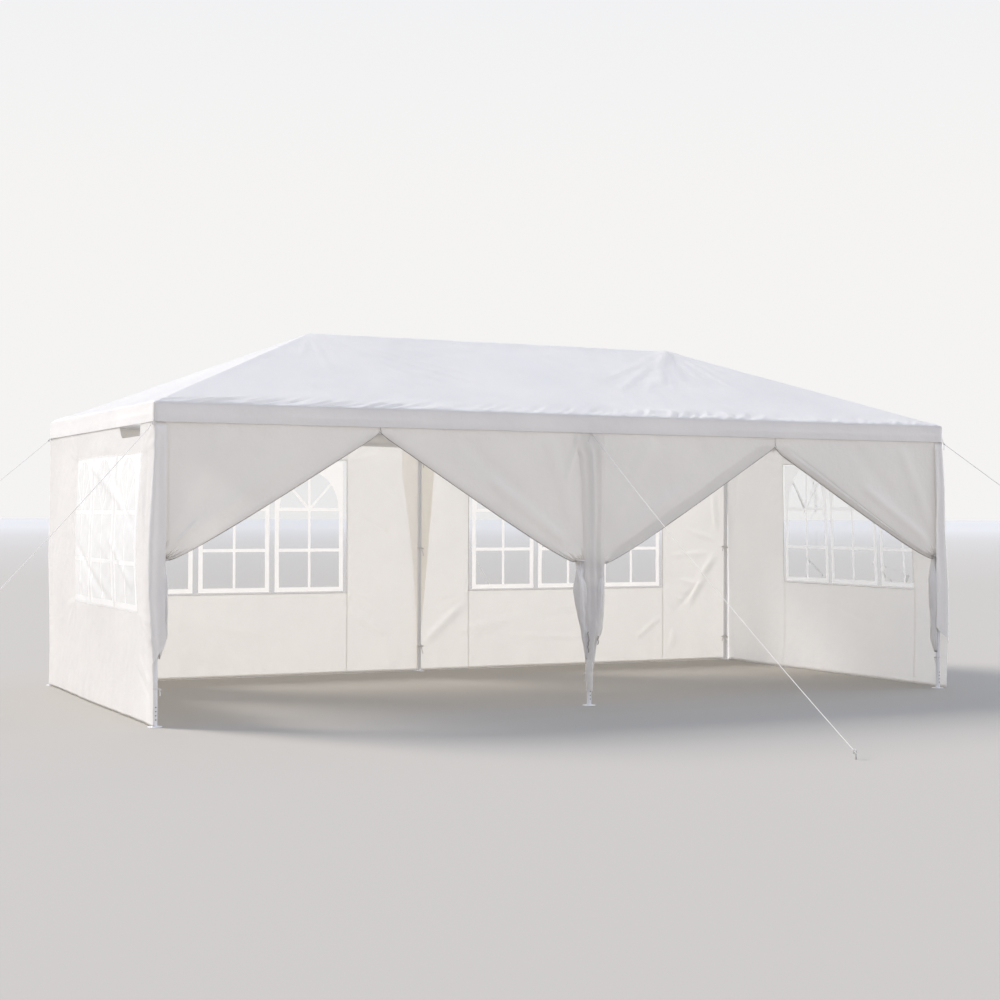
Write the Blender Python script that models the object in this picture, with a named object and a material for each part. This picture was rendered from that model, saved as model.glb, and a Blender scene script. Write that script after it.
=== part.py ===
"""A 3 x 6 m marquee tent: a six-legged steel tube frame under a white hipped cover, with four windowed
wall panels, two zipped door panels tied back in halves, and six guy ropes.

Metres, +Z up. The origin is on the ground, at the centre of the footprint. X runs along the long side,
and the two doors face -Y.
"""

import math

import bmesh
import bpy
from mathutils import Vector

# Roof cover, measured over its outside
LENGTH = 6.00
WIDTH = 2.92
EAVE_HEIGHT = 1.956
RIDGE_HEIGHT = 2.568
RIDGE_LENGTH = 2.96
VALANCE_DROP = 0.121
COVER = 0.0025

# Gap that is left between two pieces that touch on the real tent
CLEAR = 0.0003

# Steel tube frame
TUBE_RADIUS = 0.0165
HUB_LIP = 0.002
FITTING_ARM = 0.090
ARM_TWIST = math.radians(7)
FOOT_RADIUS = 0.045
FOOT_THICKNESS = 0.004
TUBE_SIDES = 12

# Wall panels and their clear window sheets
WALL = 0.0025
WINDOW_WIDTH = 1.875
WINDOW_HEIGHT = 1.060
WINDOW_SILL = 0.655
WINDOW_SHEET = 0.0015
# How far each window's middle lies from its panel's middle, along X or Y
WINDOW_SHIFT = {
    "left_end": -0.275,
    "right_end": -0.275,
    "back_left": -0.068,
    "back_right": -0.097,
}

# Door halves: the zip edge falls from the apex to a tie on the leg, and the rest hangs below the tie
APEX_BELOW_VALANCE = 0.035
TIE_HEIGHT = 1.010
ZIP_EDGE_DROOP = 0.035
ZIP_EDGE_STEPS = 8
BUNDLE_DEPTH = 0.85
BUNDLE_SIDES = 12
BUNDLE_OVERLAP = 0.070
# Height under the tie and half width of the hanging bundle
BUNDLE_SHAPE = (
    (0.000, 0.022),
    (0.110, 0.042),
    (0.300, 0.044),
    (0.480, 0.030),
    (0.600, 0.014),
    (0.860, 0.010),
)

# Guy ropes and the pegs that hold them
ROPE_RADIUS = 0.0025
ROPE_SIDES = 8
ROPE_STEPS = 8
ROPE_SAG = 0.035
KNOT_RADIUS = 0.006
PEG_RADIUS = 0.004
PEG_HEIGHT = 0.055
ROPE_ON_PEG = 0.035
# How far each rope reaches out from its leg, along X and along Y
GUY_REACH = {
    "front_left": (-2.17, -2.17),
    "front_mid": (0.0, -2.88),
    "front_right": (1.77, -1.77),
    "back_left": (-1.77, 2.88),
    "back_mid": (1.97, 1.97),
    "back_right": (2.17, 2.88),
}

# Outward direction of each leg from the centre, in steps of half the length and half the width
LEGS = {
    "front_left": (-1, -1),
    "front_mid": (0, -1),
    "front_right": (1, -1),
    "back_left": (-1, 1),
    "back_mid": (0, 1),
    "back_right": (1, 1),
}

RISE = RIDGE_HEIGHT - EAVE_HEIGHT
SIDE_PITCH = math.atan2(RISE, WIDTH / 2)
END_PITCH = math.atan2(RISE, (LENGTH - RIDGE_LENGTH) / 2)
VALANCE_BOTTOM = EAVE_HEIGHT - VALANCE_DROP
APEX_HEIGHT = VALANCE_BOTTOM - APEX_BELOW_VALANCE
WALL_BOTTOM = FOOT_THICKNESS + CLEAR
HUB_RADIUS = TUBE_RADIUS + HUB_LIP


def side_slope(y, depth):
    """Height of the long slopes' surface at y, moved square into the roof by depth."""
    return EAVE_HEIGHT + (WIDTH / 2 - abs(y)) * math.tan(SIDE_PITCH) - depth / math.cos(SIDE_PITCH)


def end_slope(x, depth):
    """The same for the two end slopes at x."""
    return EAVE_HEIGHT + (LENGTH / 2 - abs(x)) * math.tan(END_PITCH) - depth / math.cos(END_PITCH)


def peak(depth):
    """x and z of a ridge end, where a long slope and an end slope meet at that depth."""
    z = side_slope(0, depth)
    x = LENGTH / 2 - (z - end_slope(LENGTH / 2, depth)) / math.tan(END_PITCH)
    return x, z


# Layers from the outside in: valance, wall or door fabric, frame
WALL_FACE = COVER + CLEAR
FRAME_INSET = WALL_FACE + WALL + CLEAR + HUB_RADIUS
FRAME_DEPTH = COVER + CLEAR + HUB_RADIUS
FRAME_X = LENGTH / 2 - FRAME_INSET
FRAME_Y = WIDTH / 2 - FRAME_INSET
FRAME_Z = min(side_slope(FRAME_Y, FRAME_DEPTH), end_slope(FRAME_X, FRAME_DEPTH))
PEAK_X, PEAK_Z = peak(FRAME_DEPTH)
WALL_TOP = min(side_slope(WIDTH / 2, COVER), end_slope(LENGTH / 2, COVER)) - CLEAR


def finish(name, colour, roughness, metallic=0.0, alpha=1.0):
    """A named Principled material."""
    material = bpy.data.materials.new(name)
    material.use_nodes = True
    shader = material.node_tree.nodes["Principled BSDF"]
    shader.inputs["Base Color"].default_value = (*colour, 1)
    shader.inputs["Roughness"].default_value = roughness
    shader.inputs["Metallic"].default_value = metallic
    shader.inputs["Alpha"].default_value = alpha
    return material


def clear_scene():
    for obj in list(bpy.data.objects):
        bpy.data.objects.remove(obj, do_unlink=True)


def group(name, parent=None):
    """An empty that carries the pieces of one trade."""
    empty = bpy.data.objects.new(name, None)
    empty.parent = parent
    bpy.context.scene.collection.objects.link(empty)
    return empty


def add(name, bm, material, parent, location=(0, 0, 0), direction=None):
    """The object of a bmesh, with its own +Z turned to direction."""
    bmesh.ops.recalc_face_normals(bm, faces=bm.faces)
    mesh = bpy.data.meshes.new(name)
    bm.to_mesh(mesh)
    bm.free()
    mesh.materials.append(material)
    obj = bpy.data.objects.new(name, mesh)
    obj.location = location
    if direction is not None:
        obj.rotation_mode = "QUATERNION"
        obj.rotation_quaternion = Vector(direction).to_track_quat("Z", "Y")
    obj.parent = parent
    bpy.context.scene.collection.objects.link(obj)
    return obj


def smooth(obj, angle=math.radians(40)):
    obj.data.shade_smooth()
    obj.data.set_sharp_from_angle(angle=angle)


def loft(rings):
    """A closed body through rings of equal count, capped at both ends."""
    bm = bmesh.new()
    loops = [[bm.verts.new(point) for point in ring] for ring in rings]
    for low, high in zip(loops, loops[1:]):
        for i in range(len(low)):
            j = (i + 1) % len(low)
            bm.faces.new((low[i], low[j], high[j], high[i]))
    bm.faces.new(loops[0][::-1])
    bm.faces.new(loops[-1])
    return bm


def circle(radius, sides, z=0.0, twist=0.0):
    turns = (twist + 2 * math.pi * i / sides for i in range(sides))
    return [Vector((radius * math.cos(a), radius * math.sin(a), z)) for a in turns]


def slab(outline, near, far):
    """The outline's (x, z) points, pulled from y = near to y = far."""
    return loft([[Vector((x, y, z)) for x, z in outline] for y in (near, far)])


def box(low, high):
    """A block between two opposite corners."""
    outline = [(low[0], low[2]), (high[0], low[2]), (high[0], high[2]), (low[0], high[2])]
    return slab(outline, low[1], high[1])


def combine(obj, helper, operation, solver="EXACT"):
    """Joins or cuts obj with a helper that isn't shown itself."""
    helper.hide_render = True
    helper.display_type = "WIRE"
    modifier = obj.modifiers.new(operation.lower(), "BOOLEAN")
    modifier.operation = operation
    modifier.solver = solver
    modifier.object = helper


def leg(name, x, y, material, parent):
    """A turned leg: a round foot plate with the tube welded on it."""
    top = FRAME_Z - FITTING_ARM - CLEAR
    foot = [circle(FOOT_RADIUS, TUBE_SIDES, z) for z in (0, FOOT_THICKNESS)]
    bm = loft(foot + [circle(TUBE_RADIUS, TUBE_SIDES, z) for z in (FOOT_THICKNESS, top)])
    smooth(add(name, bm, material, parent, (x, y, 0)))


def tube(name, start, end, material, parent):
    """A tube between two fittings, as long as their arms leave."""
    way = (end - start).normalized()
    length = (end - start).length - 2 * (FITTING_ARM + CLEAR)
    bm = loft([circle(TUBE_RADIUS, TUBE_SIDES, z) for z in (0, length)])
    smooth(add(name, bm, material, parent, start + way * (FITTING_ARM + CLEAR), way))


def ball(radius):
    bm = bmesh.new()
    bmesh.ops.create_icosphere(bm, subdivisions=2, radius=radius)
    return bm


def fitting(name, node, neighbours, material, parent):
    """A welded connector: a hub with one arm towards each neighbouring point.

    Each arm starts a little behind the hub's centre and is twisted on its own axis, so that no two arms
    share a plane. Up to five closed tubes cross here, which the manifold solver joins more surely.
    """
    hub = add(name, ball(HUB_RADIUS), material, parent, node)
    for i, other in enumerate(neighbours):
        arm = loft([circle(TUBE_RADIUS, TUBE_SIDES, z, i * ARM_TWIST) for z in (-HUB_LIP, FITTING_ARM)])
        helper = add(f"{name}_arm_{i}", arm, material, parent, node, other - node)
        combine(hub, helper, "UNION", "MANIFOLD")
    smooth(hub)


def build_frame(material, parent):
    corner = {name: Vector((x * FRAME_X, y * FRAME_Y, FRAME_Z)) for name, (x, y) in LEGS.items()}
    ridge = {
        "left": Vector((-PEAK_X, 0, PEAK_Z)),
        "mid": Vector((0, 0, PEAK_Z)),
        "right": Vector((PEAK_X, 0, PEAK_Z)),
    }
    for name, point in corner.items():
        leg(f"leg_{name}", point.x, point.y, material, parent)

    rails = [(f"{side}_{end}", f"{side}_mid") for side in ("front", "back") for end in ("left", "right")]
    rails += [(f"front_{end}", f"back_{end}") for end in ("left", "right")]
    rail_names = [start for start, _ in rails[:4]] + ["left_end", "right_end"]
    for name, (start, end) in zip(rail_names, rails):
        tube(f"eave_rail_{name}", corner[start], corner[end], material, parent)

    rafters = {name: ridge[name.split("_")[1]] for name in LEGS}
    for name, top in rafters.items():
        tube(f"rafter_{name}", corner[name], top, material, parent)
    for end in ("left", "right"):
        tube(f"ridge_tube_{end}", ridge[end], ridge["mid"], material, parent)

    for name, point in corner.items():
        joined = [corner[b if name == a else a] for a, b in rails if name in (a, b)]
        foot = Vector((point.x, point.y, 0))
        fitting(f"eave_fitting_{name}", point, [*joined, rafters[name], foot], material, parent)
    for end, point in ridge.items():
        joined = [corner[name] for name in LEGS if name.endswith(end)]
        along = [ridge["left"], ridge["right"]] if end == "mid" else [ridge["mid"]]
        fitting(f"ridge_fitting_{end}", point, joined + along, material, parent)


def cover_corners(depth):
    """Valance hem, eave and ridge points of the cover, moved into it by depth."""
    x, y = LENGTH / 2 - depth, WIDTH / 2 - depth
    eave = min(side_slope(y, depth), end_slope(x, depth))
    peak_x, peak_z = peak(depth)
    corners = [(-x, -y), (x, -y), (x, y), (-x, y)]
    hem = [(cx, cy, VALANCE_BOTTOM) for cx, cy in corners]
    return hem + [(cx, cy, eave) for cx, cy in corners] + [(-peak_x, 0, peak_z), (peak_x, 0, peak_z)]


def build_cover(material, parent):
    """The hipped cover with its valance, sewn as one skin: an outer and an inner shell joined at the hem."""
    valance = [(0, 1, 5, 4), (1, 2, 6, 5), (2, 3, 7, 6), (3, 0, 4, 7)]
    slopes = [(4, 5, 9, 8), (6, 7, 8, 9), (5, 6, 9), (7, 4, 8)]
    bm = bmesh.new()
    outer = [bm.verts.new(point) for point in cover_corners(0)]
    inner = [bm.verts.new(point) for point in cover_corners(COVER)]
    for face in valance + slopes:
        bm.faces.new([outer[i] for i in face])
        bm.faces.new([inner[i] for i in reversed(face)])
    for i in range(4):
        j = (i + 1) % 4
        bm.faces.new((outer[i], inner[i], inner[j], outer[j]))
    add("roof_cover", bm, material, parent)


def wall_panel(name, near, far, fabric, clear, parent):
    """A panel between two plan corners, with its window hole and the clear sheet in it."""
    low = Vector((*near, WALL_BOTTOM))
    high = Vector((*far, WALL_TOP))
    panel = add(name, box(low, high), fabric, parent)
    middle = (low + high) / 2
    along = 0 if high.x - low.x > high.y - low.y else 1
    across = 1 - along
    middle[along] += WINDOW_SHIFT[name.removeprefix("wall_")]
    hole_low, hole_high = middle.copy(), middle.copy()
    hole_low[along] -= WINDOW_WIDTH / 2
    hole_high[along] += WINDOW_WIDTH / 2
    hole_low.z, hole_high.z = WINDOW_SILL, WINDOW_SILL + WINDOW_HEIGHT
    sheet_low, sheet_high = hole_low.copy(), hole_high.copy()
    hole_low[across] -= 2 * WALL
    hole_high[across] += 2 * WALL
    combine(panel, add(f"{name}_hole", box(hole_low, hole_high), fabric, parent), "DIFFERENCE")
    sheet_low[across] -= WINDOW_SHEET / 2
    sheet_high[across] += WINDOW_SHEET / 2
    for axis in (along, 2):
        sheet_low[axis] += CLEAR
        sheet_high[axis] -= CLEAR
    add(name.replace("wall", "window"), box(sheet_low, sheet_high), clear, parent)


def build_walls(fabric, clear, parent):
    x, y = LENGTH / 2 - WALL_FACE, WIDTH / 2 - WALL_FACE
    inside = x - WALL - CLEAR
    wall_panel("wall_left_end", (-x, -y), (-x + WALL, y), fabric, clear, parent)
    wall_panel("wall_right_end", (x - WALL, -y), (x, y), fabric, clear, parent)
    wall_panel("wall_back_left", (-inside, y - WALL), (-CLEAR / 2, y), fabric, clear, parent)
    wall_panel("wall_back_right", (CLEAR / 2, y - WALL), (inside, y), fabric, clear, parent)


def bundle(leg_x, towards):
    """The gathered fabric under the tie: rounded rings that keep their inner side against the leg."""
    rings = []
    shape = [(-BUNDLE_OVERLAP, BUNDLE_SHAPE[0][1]), *BUNDLE_SHAPE]
    for drop, half_width in reversed(shape):
        centre_x = leg_x + towards * (TUBE_RADIUS + CLEAR + half_width)
        ring = circle(half_width, BUNDLE_SIDES)
        depth = BUNDLE_DEPTH * half_width
        centre = Vector((centre_x, -WIDTH / 2 + WALL_FACE + WALL / 2 + depth / 2, TIE_HEIGHT - drop))
        rings.append([centre + Vector((p.x, p.y * BUNDLE_DEPTH, 0)) for p in ring])
    return loft(rings)


def door_half(name, leg_x, edge_x, apex_x, material, parent):
    """Half a door, tied back to its leg, from its edge on the leg to the apex at the bay's middle."""
    towards = 1 if apex_x > leg_x else -1
    tie_x = leg_x + towards * TUBE_RADIUS
    hem = []
    for step in range(ZIP_EDGE_STEPS + 1):
        t = step / ZIP_EDGE_STEPS
        droop = ZIP_EDGE_DROOP * math.sin(math.pi * math.sqrt(t))
        hem.append((tie_x + (apex_x - tie_x) * t, TIE_HEIGHT + (APEX_HEIGHT - TIE_HEIGHT) * t - droop))
    outline = [(edge_x, WALL_TOP), (edge_x, TIE_HEIGHT), *hem, (apex_x, WALL_TOP)]
    outer = -WIDTH / 2 + WALL_FACE
    half = add(name, slab(outline, outer, outer + WALL), material, parent)
    combine(half, add(f"{name}_bundle", bundle(leg_x, towards), material, parent), "UNION")


def build_doors(material, parent):
    middle = FRAME_X / 2
    corner_edge = LENGTH / 2 - WALL_FACE - WALL - CLEAR
    for side, sign in (("left", -1), ("right", 1)):
        gap = sign * CLEAR / 2
        outer, inner = f"door_{side}_outer_half", f"door_{side}_inner_half"
        door_half(outer, sign * FRAME_X, sign * corner_edge, sign * middle + gap, material, parent)
        door_half(inner, 0, gap, sign * middle - gap, material, parent)


def guy_rope(name, start, anchor, rope, parent):
    """A rope from its knot to its peg, with a slight sag, and the part of the peg above the ground."""
    end = Vector((*anchor, ROPE_ON_PEG))
    points = []
    for step in range(ROPE_STEPS + 1):
        t = step / ROPE_STEPS
        points.append(start.lerp(end, t) - Vector((0, 0, 4 * ROPE_SAG * t * (1 - t))))
    turn = (end - start).to_track_quat("Z", "Y")
    rings = [[point + turn @ p for p in circle(ROPE_RADIUS, ROPE_SIDES)] for point in points]
    line = add(name, loft(rings), rope, parent)
    combine(line, add(f"{name}_knot", ball(KNOT_RADIUS), rope, parent, start), "UNION")
    peg = loft([circle(PEG_RADIUS, ROPE_SIDES, z) for z in (0, PEG_HEIGHT)])
    combine(line, add(f"{name}_peg", peg, rope, parent, (*anchor, 0)), "UNION")


def build_guying(material, parent):
    """Each knot sits under the valance, against the fabric outside its leg."""
    top = VALANCE_BOTTOM - CLEAR - KNOT_RADIUS
    for name, (x, y) in LEGS.items():
        fabric = Vector((x * (LENGTH / 2 - WALL_FACE), y * (WIDTH / 2 - WALL_FACE), top))
        start = fabric + Vector((x, y, 0)).normalized() * (KNOT_RADIUS + CLEAR)
        reach_x, reach_y = GUY_REACH[name]
        anchor = (x * LENGTH / 2 + reach_x, y * WIDTH / 2 + reach_y)
        guy_rope(f"guy_rope_{name}", start, anchor, material, parent)


def main():
    clear_scene()
    steel = finish("white_powder_coated_steel", (0.80, 0.80, 0.79), 0.38)
    fabric = finish("white_polyethylene_tarpaulin", (0.82, 0.82, 0.83), 0.55)
    clear = finish("clear_pvc_sheet", (0.90, 0.92, 0.92), 0.12, alpha=0.3)
    rope = finish("white_polypropylene_rope", (0.80, 0.80, 0.77), 0.70)
    tent = group("tent")
    build_frame(steel, group("frame", tent))
    build_cover(fabric, tent)
    build_walls(fabric, clear, group("walls", tent))
    build_doors(fabric, group("doors", tent))
    build_guying(rope, group("guying", tent))


main()
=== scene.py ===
# %% [markdown]
# # Dressing a white party tent
# The tent is a steel tube frame under woven plastic cloth. The frame below is the measured model: every
# leg, tube and panel is already there at its real size, in metres, with the ground at z = 0, X along the
# long side and the two doors facing -Y. This script gives it the cloth, the windows, the ropes and the
# finishes that the eye looks for.

import math
from math import cos, exp, hypot, pi, radians, sin, sqrt

import bmesh
import bpy
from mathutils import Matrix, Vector, geometry, kdtree, noise


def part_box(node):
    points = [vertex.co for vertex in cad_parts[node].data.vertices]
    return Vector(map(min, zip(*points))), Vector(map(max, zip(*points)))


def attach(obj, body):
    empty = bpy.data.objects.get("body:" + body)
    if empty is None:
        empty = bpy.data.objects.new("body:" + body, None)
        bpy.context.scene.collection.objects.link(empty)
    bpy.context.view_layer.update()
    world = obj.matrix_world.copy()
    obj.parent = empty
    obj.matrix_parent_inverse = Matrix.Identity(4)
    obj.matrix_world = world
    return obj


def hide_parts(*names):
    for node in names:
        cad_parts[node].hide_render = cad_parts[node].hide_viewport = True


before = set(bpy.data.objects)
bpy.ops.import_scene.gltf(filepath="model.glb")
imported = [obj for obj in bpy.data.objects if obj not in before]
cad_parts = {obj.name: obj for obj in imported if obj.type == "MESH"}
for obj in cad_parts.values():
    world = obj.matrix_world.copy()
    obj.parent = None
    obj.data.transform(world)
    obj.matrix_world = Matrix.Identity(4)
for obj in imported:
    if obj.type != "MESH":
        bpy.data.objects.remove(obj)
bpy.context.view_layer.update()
ROOT = "root"
print("frame loaded:", len(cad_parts), "nodes")

# %% [markdown]
# The driving sizes are read from the frame, so that the cloth follows it if the tent is built longer or
# lower. The roof cover's box gives the length, the width and the ridge, its corners give the eave and the
# ends of the ridge, and a leg's box gives the leg's place.

# %% Sizes read from the frame
cover_low, cover_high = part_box("roof_cover")
HALF_LENGTH, HALF_WIDTH, RIDGE_Z = cover_high
HEM_Z = cover_low.z
cover_points = [vertex.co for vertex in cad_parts["roof_cover"].data.vertices]
EAVE_Z = max(p.z for p in cover_points if p.x > HALF_LENGTH - 0.001)
PEAK_X = max(p.x for p in cover_points if p.z > RIDGE_Z - 0.001)
leg_low, leg_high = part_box("leg_front_left")
LEG_X = -(leg_low.x + leg_high.x) / 2
LEG_Y = -(leg_low.y + leg_high.y) / 2
rail_low, rail_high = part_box("eave_rail_left_end")
LEG_RADIUS = (rail_high.x - rail_low.x) / 2
wall_low, wall_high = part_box("wall_back_left")
BACK_PLANE = (wall_low.y + wall_high.y) / 2
WALL_BASE, WALL_TOP = wall_low.z, wall_high.z
end_low, end_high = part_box("wall_right_end")
END_PLANE = (end_low.x + end_high.x) / 2
print(f"tent {2 * HALF_LENGTH:.2f} x {2 * HALF_WIDTH:.2f} m, eave {EAVE_Z:.3f}, ridge {RIDGE_Z:.3f}")
print(f"legs at {LEG_X:.3f}, {LEG_Y:.3f}, walls from {WALL_BASE:.4f} to {WALL_TOP:.3f}")

# %% [markdown]
# ## Camera and light
# The photograph was taken from head height, in front of the left corner, with a short telephoto lens. The
# camera stands in the same place, which was worked out from the feet, the eaves and the ridge ends.

# %% Camera
CAMERA_PLACE = (-5.826, -11.950, 1.2845)
CAMERA_TURN = (90.469, -0.213, -26.108)  # degrees
LENS_MM = 64.07
SENSOR_MM = 36.0


def place_in_scene(name, data):
    """A new object with that data, in the scene."""
    made = bpy.data.objects.new(name, data)
    bpy.context.scene.collection.objects.link(made)
    return made


camera = place_in_scene("camera", bpy.data.cameras.new("camera"))
camera.data.lens = LENS_MM
camera.data.sensor_width = SENSOR_MM
camera.location = CAMERA_PLACE
camera.rotation_euler = [radians(angle) for angle in CAMERA_TURN]
bpy.context.scene.camera = camera
print("camera at", CAMERA_PLACE, "with a lens of", LENS_MM, "mm")

# %% [markdown]
# The light is a plain bright studio: a white surround, and one big soft lamp behind the left corner, where
# the sun stood. The cloth lets a good part of that light through, so the back walls glow from inside.

# %% Colours and light
SUN_AZIMUTH, SUN_ELEVATION = radians(222), radians(38)
SUN_STRENGTH, SUN_SPREAD, SUN_COLOUR = 3.65, radians(24), "FFFAF6"


def linear(code):
    """The linear colour of an sRGB hex code such as F4F3F0."""
    parts = [int(code[i:i + 2], 16) / 255 for i in (0, 2, 4)]
    return (*(c / 12.92 if c <= 0.04045 else ((c + 0.055) / 1.055) ** 2.4 for c in parts), 1.0)


key = place_in_scene("key", bpy.data.lights.new("key", "SUN"))
key.data.energy = SUN_STRENGTH
key.data.angle = SUN_SPREAD
key.data.color = linear(SUN_COLOUR)[:3]
level = cos(SUN_ELEVATION)
to_sun = Vector((sin(SUN_AZIMUTH) * level, -cos(SUN_AZIMUTH) * level, sin(SUN_ELEVATION)))
key.rotation_mode = "QUATERNION"
key.rotation_quaternion = to_sun.to_track_quat("Z", "Y")
bpy.context.scene.view_settings.view_transform = "Standard"

# %% Floor
# The floor is a mid grey that grows lighter far away, so that no line shows where it ends
FLOOR_REACH = 400.0
FLOOR_FADE = (22.0, 150.0)
FLOOR_TONES = ("AAA59D", "C2C1BF")

floor_mesh = bpy.data.meshes.new("floor")
corners = [(x * FLOOR_REACH, y * FLOOR_REACH, 0) for x, y in ((-1, -1), (1, -1), (1, 1), (-1, 1))]
floor_mesh.from_pydata(corners, [], [(0, 1, 2, 3)])
floor = place_in_scene("floor", floor_mesh)

# %% [markdown]
# ## Finishes
# One function adds a node, with its settings and its links.


# %% Node helper
def add_node(tree, kind, inputs=None, **settings):
    """A node of that kind. inputs maps a socket's name or number to a value or to a socket that feeds it."""
    made = tree.nodes.new(kind)
    for name, value in settings.items():
        setattr(made, name, value)
    for key, value in (inputs or {}).items():
        if isinstance(value, bpy.types.NodeSocket):
            tree.links.new(value, made.inputs[key])
        else:
            made.inputs[key].default_value = value
    return made


def new_material(name):
    """An empty node tree and its output."""
    material = bpy.data.materials.new(name)
    material.use_nodes = True
    material.node_tree.nodes.clear()
    return material, material.node_tree, material.node_tree.nodes.new("ShaderNodeOutputMaterial")


def studio_floor():
    material, tree, out = new_material("studio_floor")
    space = add_node(tree, "ShaderNodeTexCoord")
    distance = add_node(tree, "ShaderNodeVectorMath", {0: space.outputs["Object"]}, operation="LENGTH")
    far = add_node(tree, "ShaderNodeMapRange",
                   {"Value": distance.outputs["Value"], "From Min": FLOOR_FADE[0], "From Max": FLOOR_FADE[1]})
    tone = add_node(tree, "ShaderNodeValToRGB", {0: far.outputs[0]})
    tone.color_ramp.elements[0].color = linear(FLOOR_TONES[0])
    tone.color_ramp.elements[1].color = linear(FLOOR_TONES[1])
    shader = add_node(tree, "ShaderNodeBsdfPrincipled", {"Base Color": tone.outputs[0], "Roughness": 0.9})
    tree.links.new(shader.outputs[0], out.inputs["Surface"])
    return material


# %% [markdown]
# The surround is like a big soft box: cooler overhead, which makes the roof a bluish white, warmer and a
# little stronger in front of the tent, which fills the folds of the doors, and strong to the right, outside
# the picture, from where it glows through the right end wall.

# %% Surround
LOW_LIGHT, HIGH_LIGHT = "F8F7F6", "CFE0FE"
LOW_STRENGTH, HIGH_STRENGTH = 0.97, 0.96
FRONT_TINT = "FBF6F4"
FRONT_FILL, SIDE_FILL = 0.05, 2.8


def studio_surround():
    made = bpy.data.worlds.new("studio_surround")
    made.use_nodes = True
    tree = made.node_tree
    space = add_node(tree, "ShaderNodeTexCoord")
    way = add_node(tree, "ShaderNodeSeparateXYZ", {0: space.outputs["Generated"]})
    height = add_node(tree, "ShaderNodeMapRange", {"Value": way.outputs["Z"], "From Min": 0.15, "From Max": 0.85},
                      interpolation_type="SMOOTHSTEP")
    colour = add_node(tree, "ShaderNodeValToRGB", {0: height.outputs[0]})
    colour.color_ramp.elements[0].color = linear(LOW_LIGHT)
    colour.color_ramp.elements[1].color = linear(HIGH_LIGHT)
    base = add_node(tree, "ShaderNodeMapRange",
                    {"Value": height.outputs[0], "To Min": LOW_STRENGTH, "To Max": HIGH_STRENGTH})
    front = add_node(tree, "ShaderNodeMapRange", {"Value": way.outputs["Y"], "From Min": 0.3, "From Max": -1.0})
    side = add_node(tree, "ShaderNodeMapRange", {"Value": way.outputs["X"], "From Min": 0.72, "From Max": 1.0,
                                                 "To Max": SIDE_FILL}, interpolation_type="SMOOTHSTEP")
    filled = add_node(tree, "ShaderNodeMath", {0: front.outputs[0], 1: FRONT_FILL, 2: base.outputs[0]},
                      operation="MULTIPLY_ADD")
    total = add_node(tree, "ShaderNodeMath", {0: filled.outputs[0], 1: side.outputs[0]}, operation="ADD")
    warm = add_node(tree, "ShaderNodeMix", {0: front.outputs[0], 6: colour.outputs[0], 7: linear(FRONT_TINT)},
                    data_type="RGBA", blend_type="MULTIPLY")
    background = tree.nodes["Background"]
    tree.links.new(warm.outputs[2], background.inputs["Color"])
    tree.links.new(total.outputs[0], background.inputs["Strength"])
    return made


bpy.context.scene.world = studio_surround()

# %% [markdown]
# Party tent cloth is woven polyethylene: flat plastic tapes about 1.5 mm wide, woven over and under, with a
# thin film melted on both sides. It has a satin sheen, it keeps the small creases of its packing, and a good
# part of the light goes through it, but less where it hangs in several layers. The real tapes are too fine
# for a picture of the whole tent, so they are drawn 5 mm wide. The UV map is in metres of flat cloth, so the
# weave keeps its scale and runs with the cloth.

# %% Tarpaulin
TAPE_WIDTH = 0.005
TAPE_HEIGHT = 0.00006
CRUMPLE_SIZES = ((0.22, 0.0032), (0.060, 0.0021), (0.022, 0.0012))
SHARE_THROUGH = 0.36
SHARE_THROUGH_LAYERS = 0.16
SHARE_THROUGH_LAPS = 0.75


def weave_height(tree, place, tape):
    """The height of tapes woven over and under, from 0 to 1, for a place in metres."""
    turned = add_node(tree, "ShaderNodeVectorMath", {0: place, 3: pi / tape}, operation="SCALE")
    parts = add_node(tree, "ShaderNodeSeparateXYZ", {0: turned.outputs[0]})
    waves = [add_node(tree, "ShaderNodeMath", {0: parts.outputs[axis]}, operation="SINE") for axis in (0, 1)]
    over, under = (wave.outputs[0] for wave in waves)
    both = add_node(tree, "ShaderNodeMath", {0: over, 1: under}, operation="MULTIPLY")
    return both.outputs[0]


def polyethylene_tarpaulin(name, front, through, share):
    material, tree, out = new_material(name)
    flat = add_node(tree, "ShaderNodeUVMap", uv_map="cloth")
    space = add_node(tree, "ShaderNodeTexCoord")
    normal = None
    for size, height in CRUMPLE_SIZES:
        lumps = add_node(tree, "ShaderNodeTexNoise",
                         {"Vector": space.outputs["Object"], "Scale": 1 / size, "Detail": 3.0, "Roughness": 0.55})
        inputs = {"Height": lumps.outputs[0], "Distance": height, "Strength": 1.0}
        if normal:
            inputs["Normal"] = normal
        normal = add_node(tree, "ShaderNodeBump", inputs).outputs[0]
    tapes = weave_height(tree, flat.outputs[0], TAPE_WIDTH)
    woven = add_node(tree, "ShaderNodeBump", {"Height": tapes, "Distance": TAPE_HEIGHT, "Normal": normal})
    normal = woven.outputs[0]
    cloudy = add_node(tree, "ShaderNodeTexNoise", {"Vector": space.outputs["Object"], "Scale": 1.7, "Detail": 4.0})
    tint = add_node(tree, "ShaderNodeValToRGB", {0: cloudy.outputs[0]})
    tint.color_ramp.elements[0].position = 0.35
    tint.color_ramp.elements[0].color = linear(front[0])
    tint.color_ramp.elements[1].position = 0.65
    tint.color_ramp.elements[1].color = linear(front[1])
    shader = add_node(tree, "ShaderNodeBsdfPrincipled",
                      {"Base Color": tint.outputs[0], "Roughness": 0.42, "Normal": normal})
    glow = add_node(tree, "ShaderNodeBsdfTranslucent", {"Color": linear(through), "Normal": normal})
    both = add_node(tree, "ShaderNodeMixShader", {0: share, 1: shader.outputs[0], 2: glow.outputs[0]})
    tree.links.new(both.outputs[0], out.inputs["Surface"])
    return material


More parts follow.
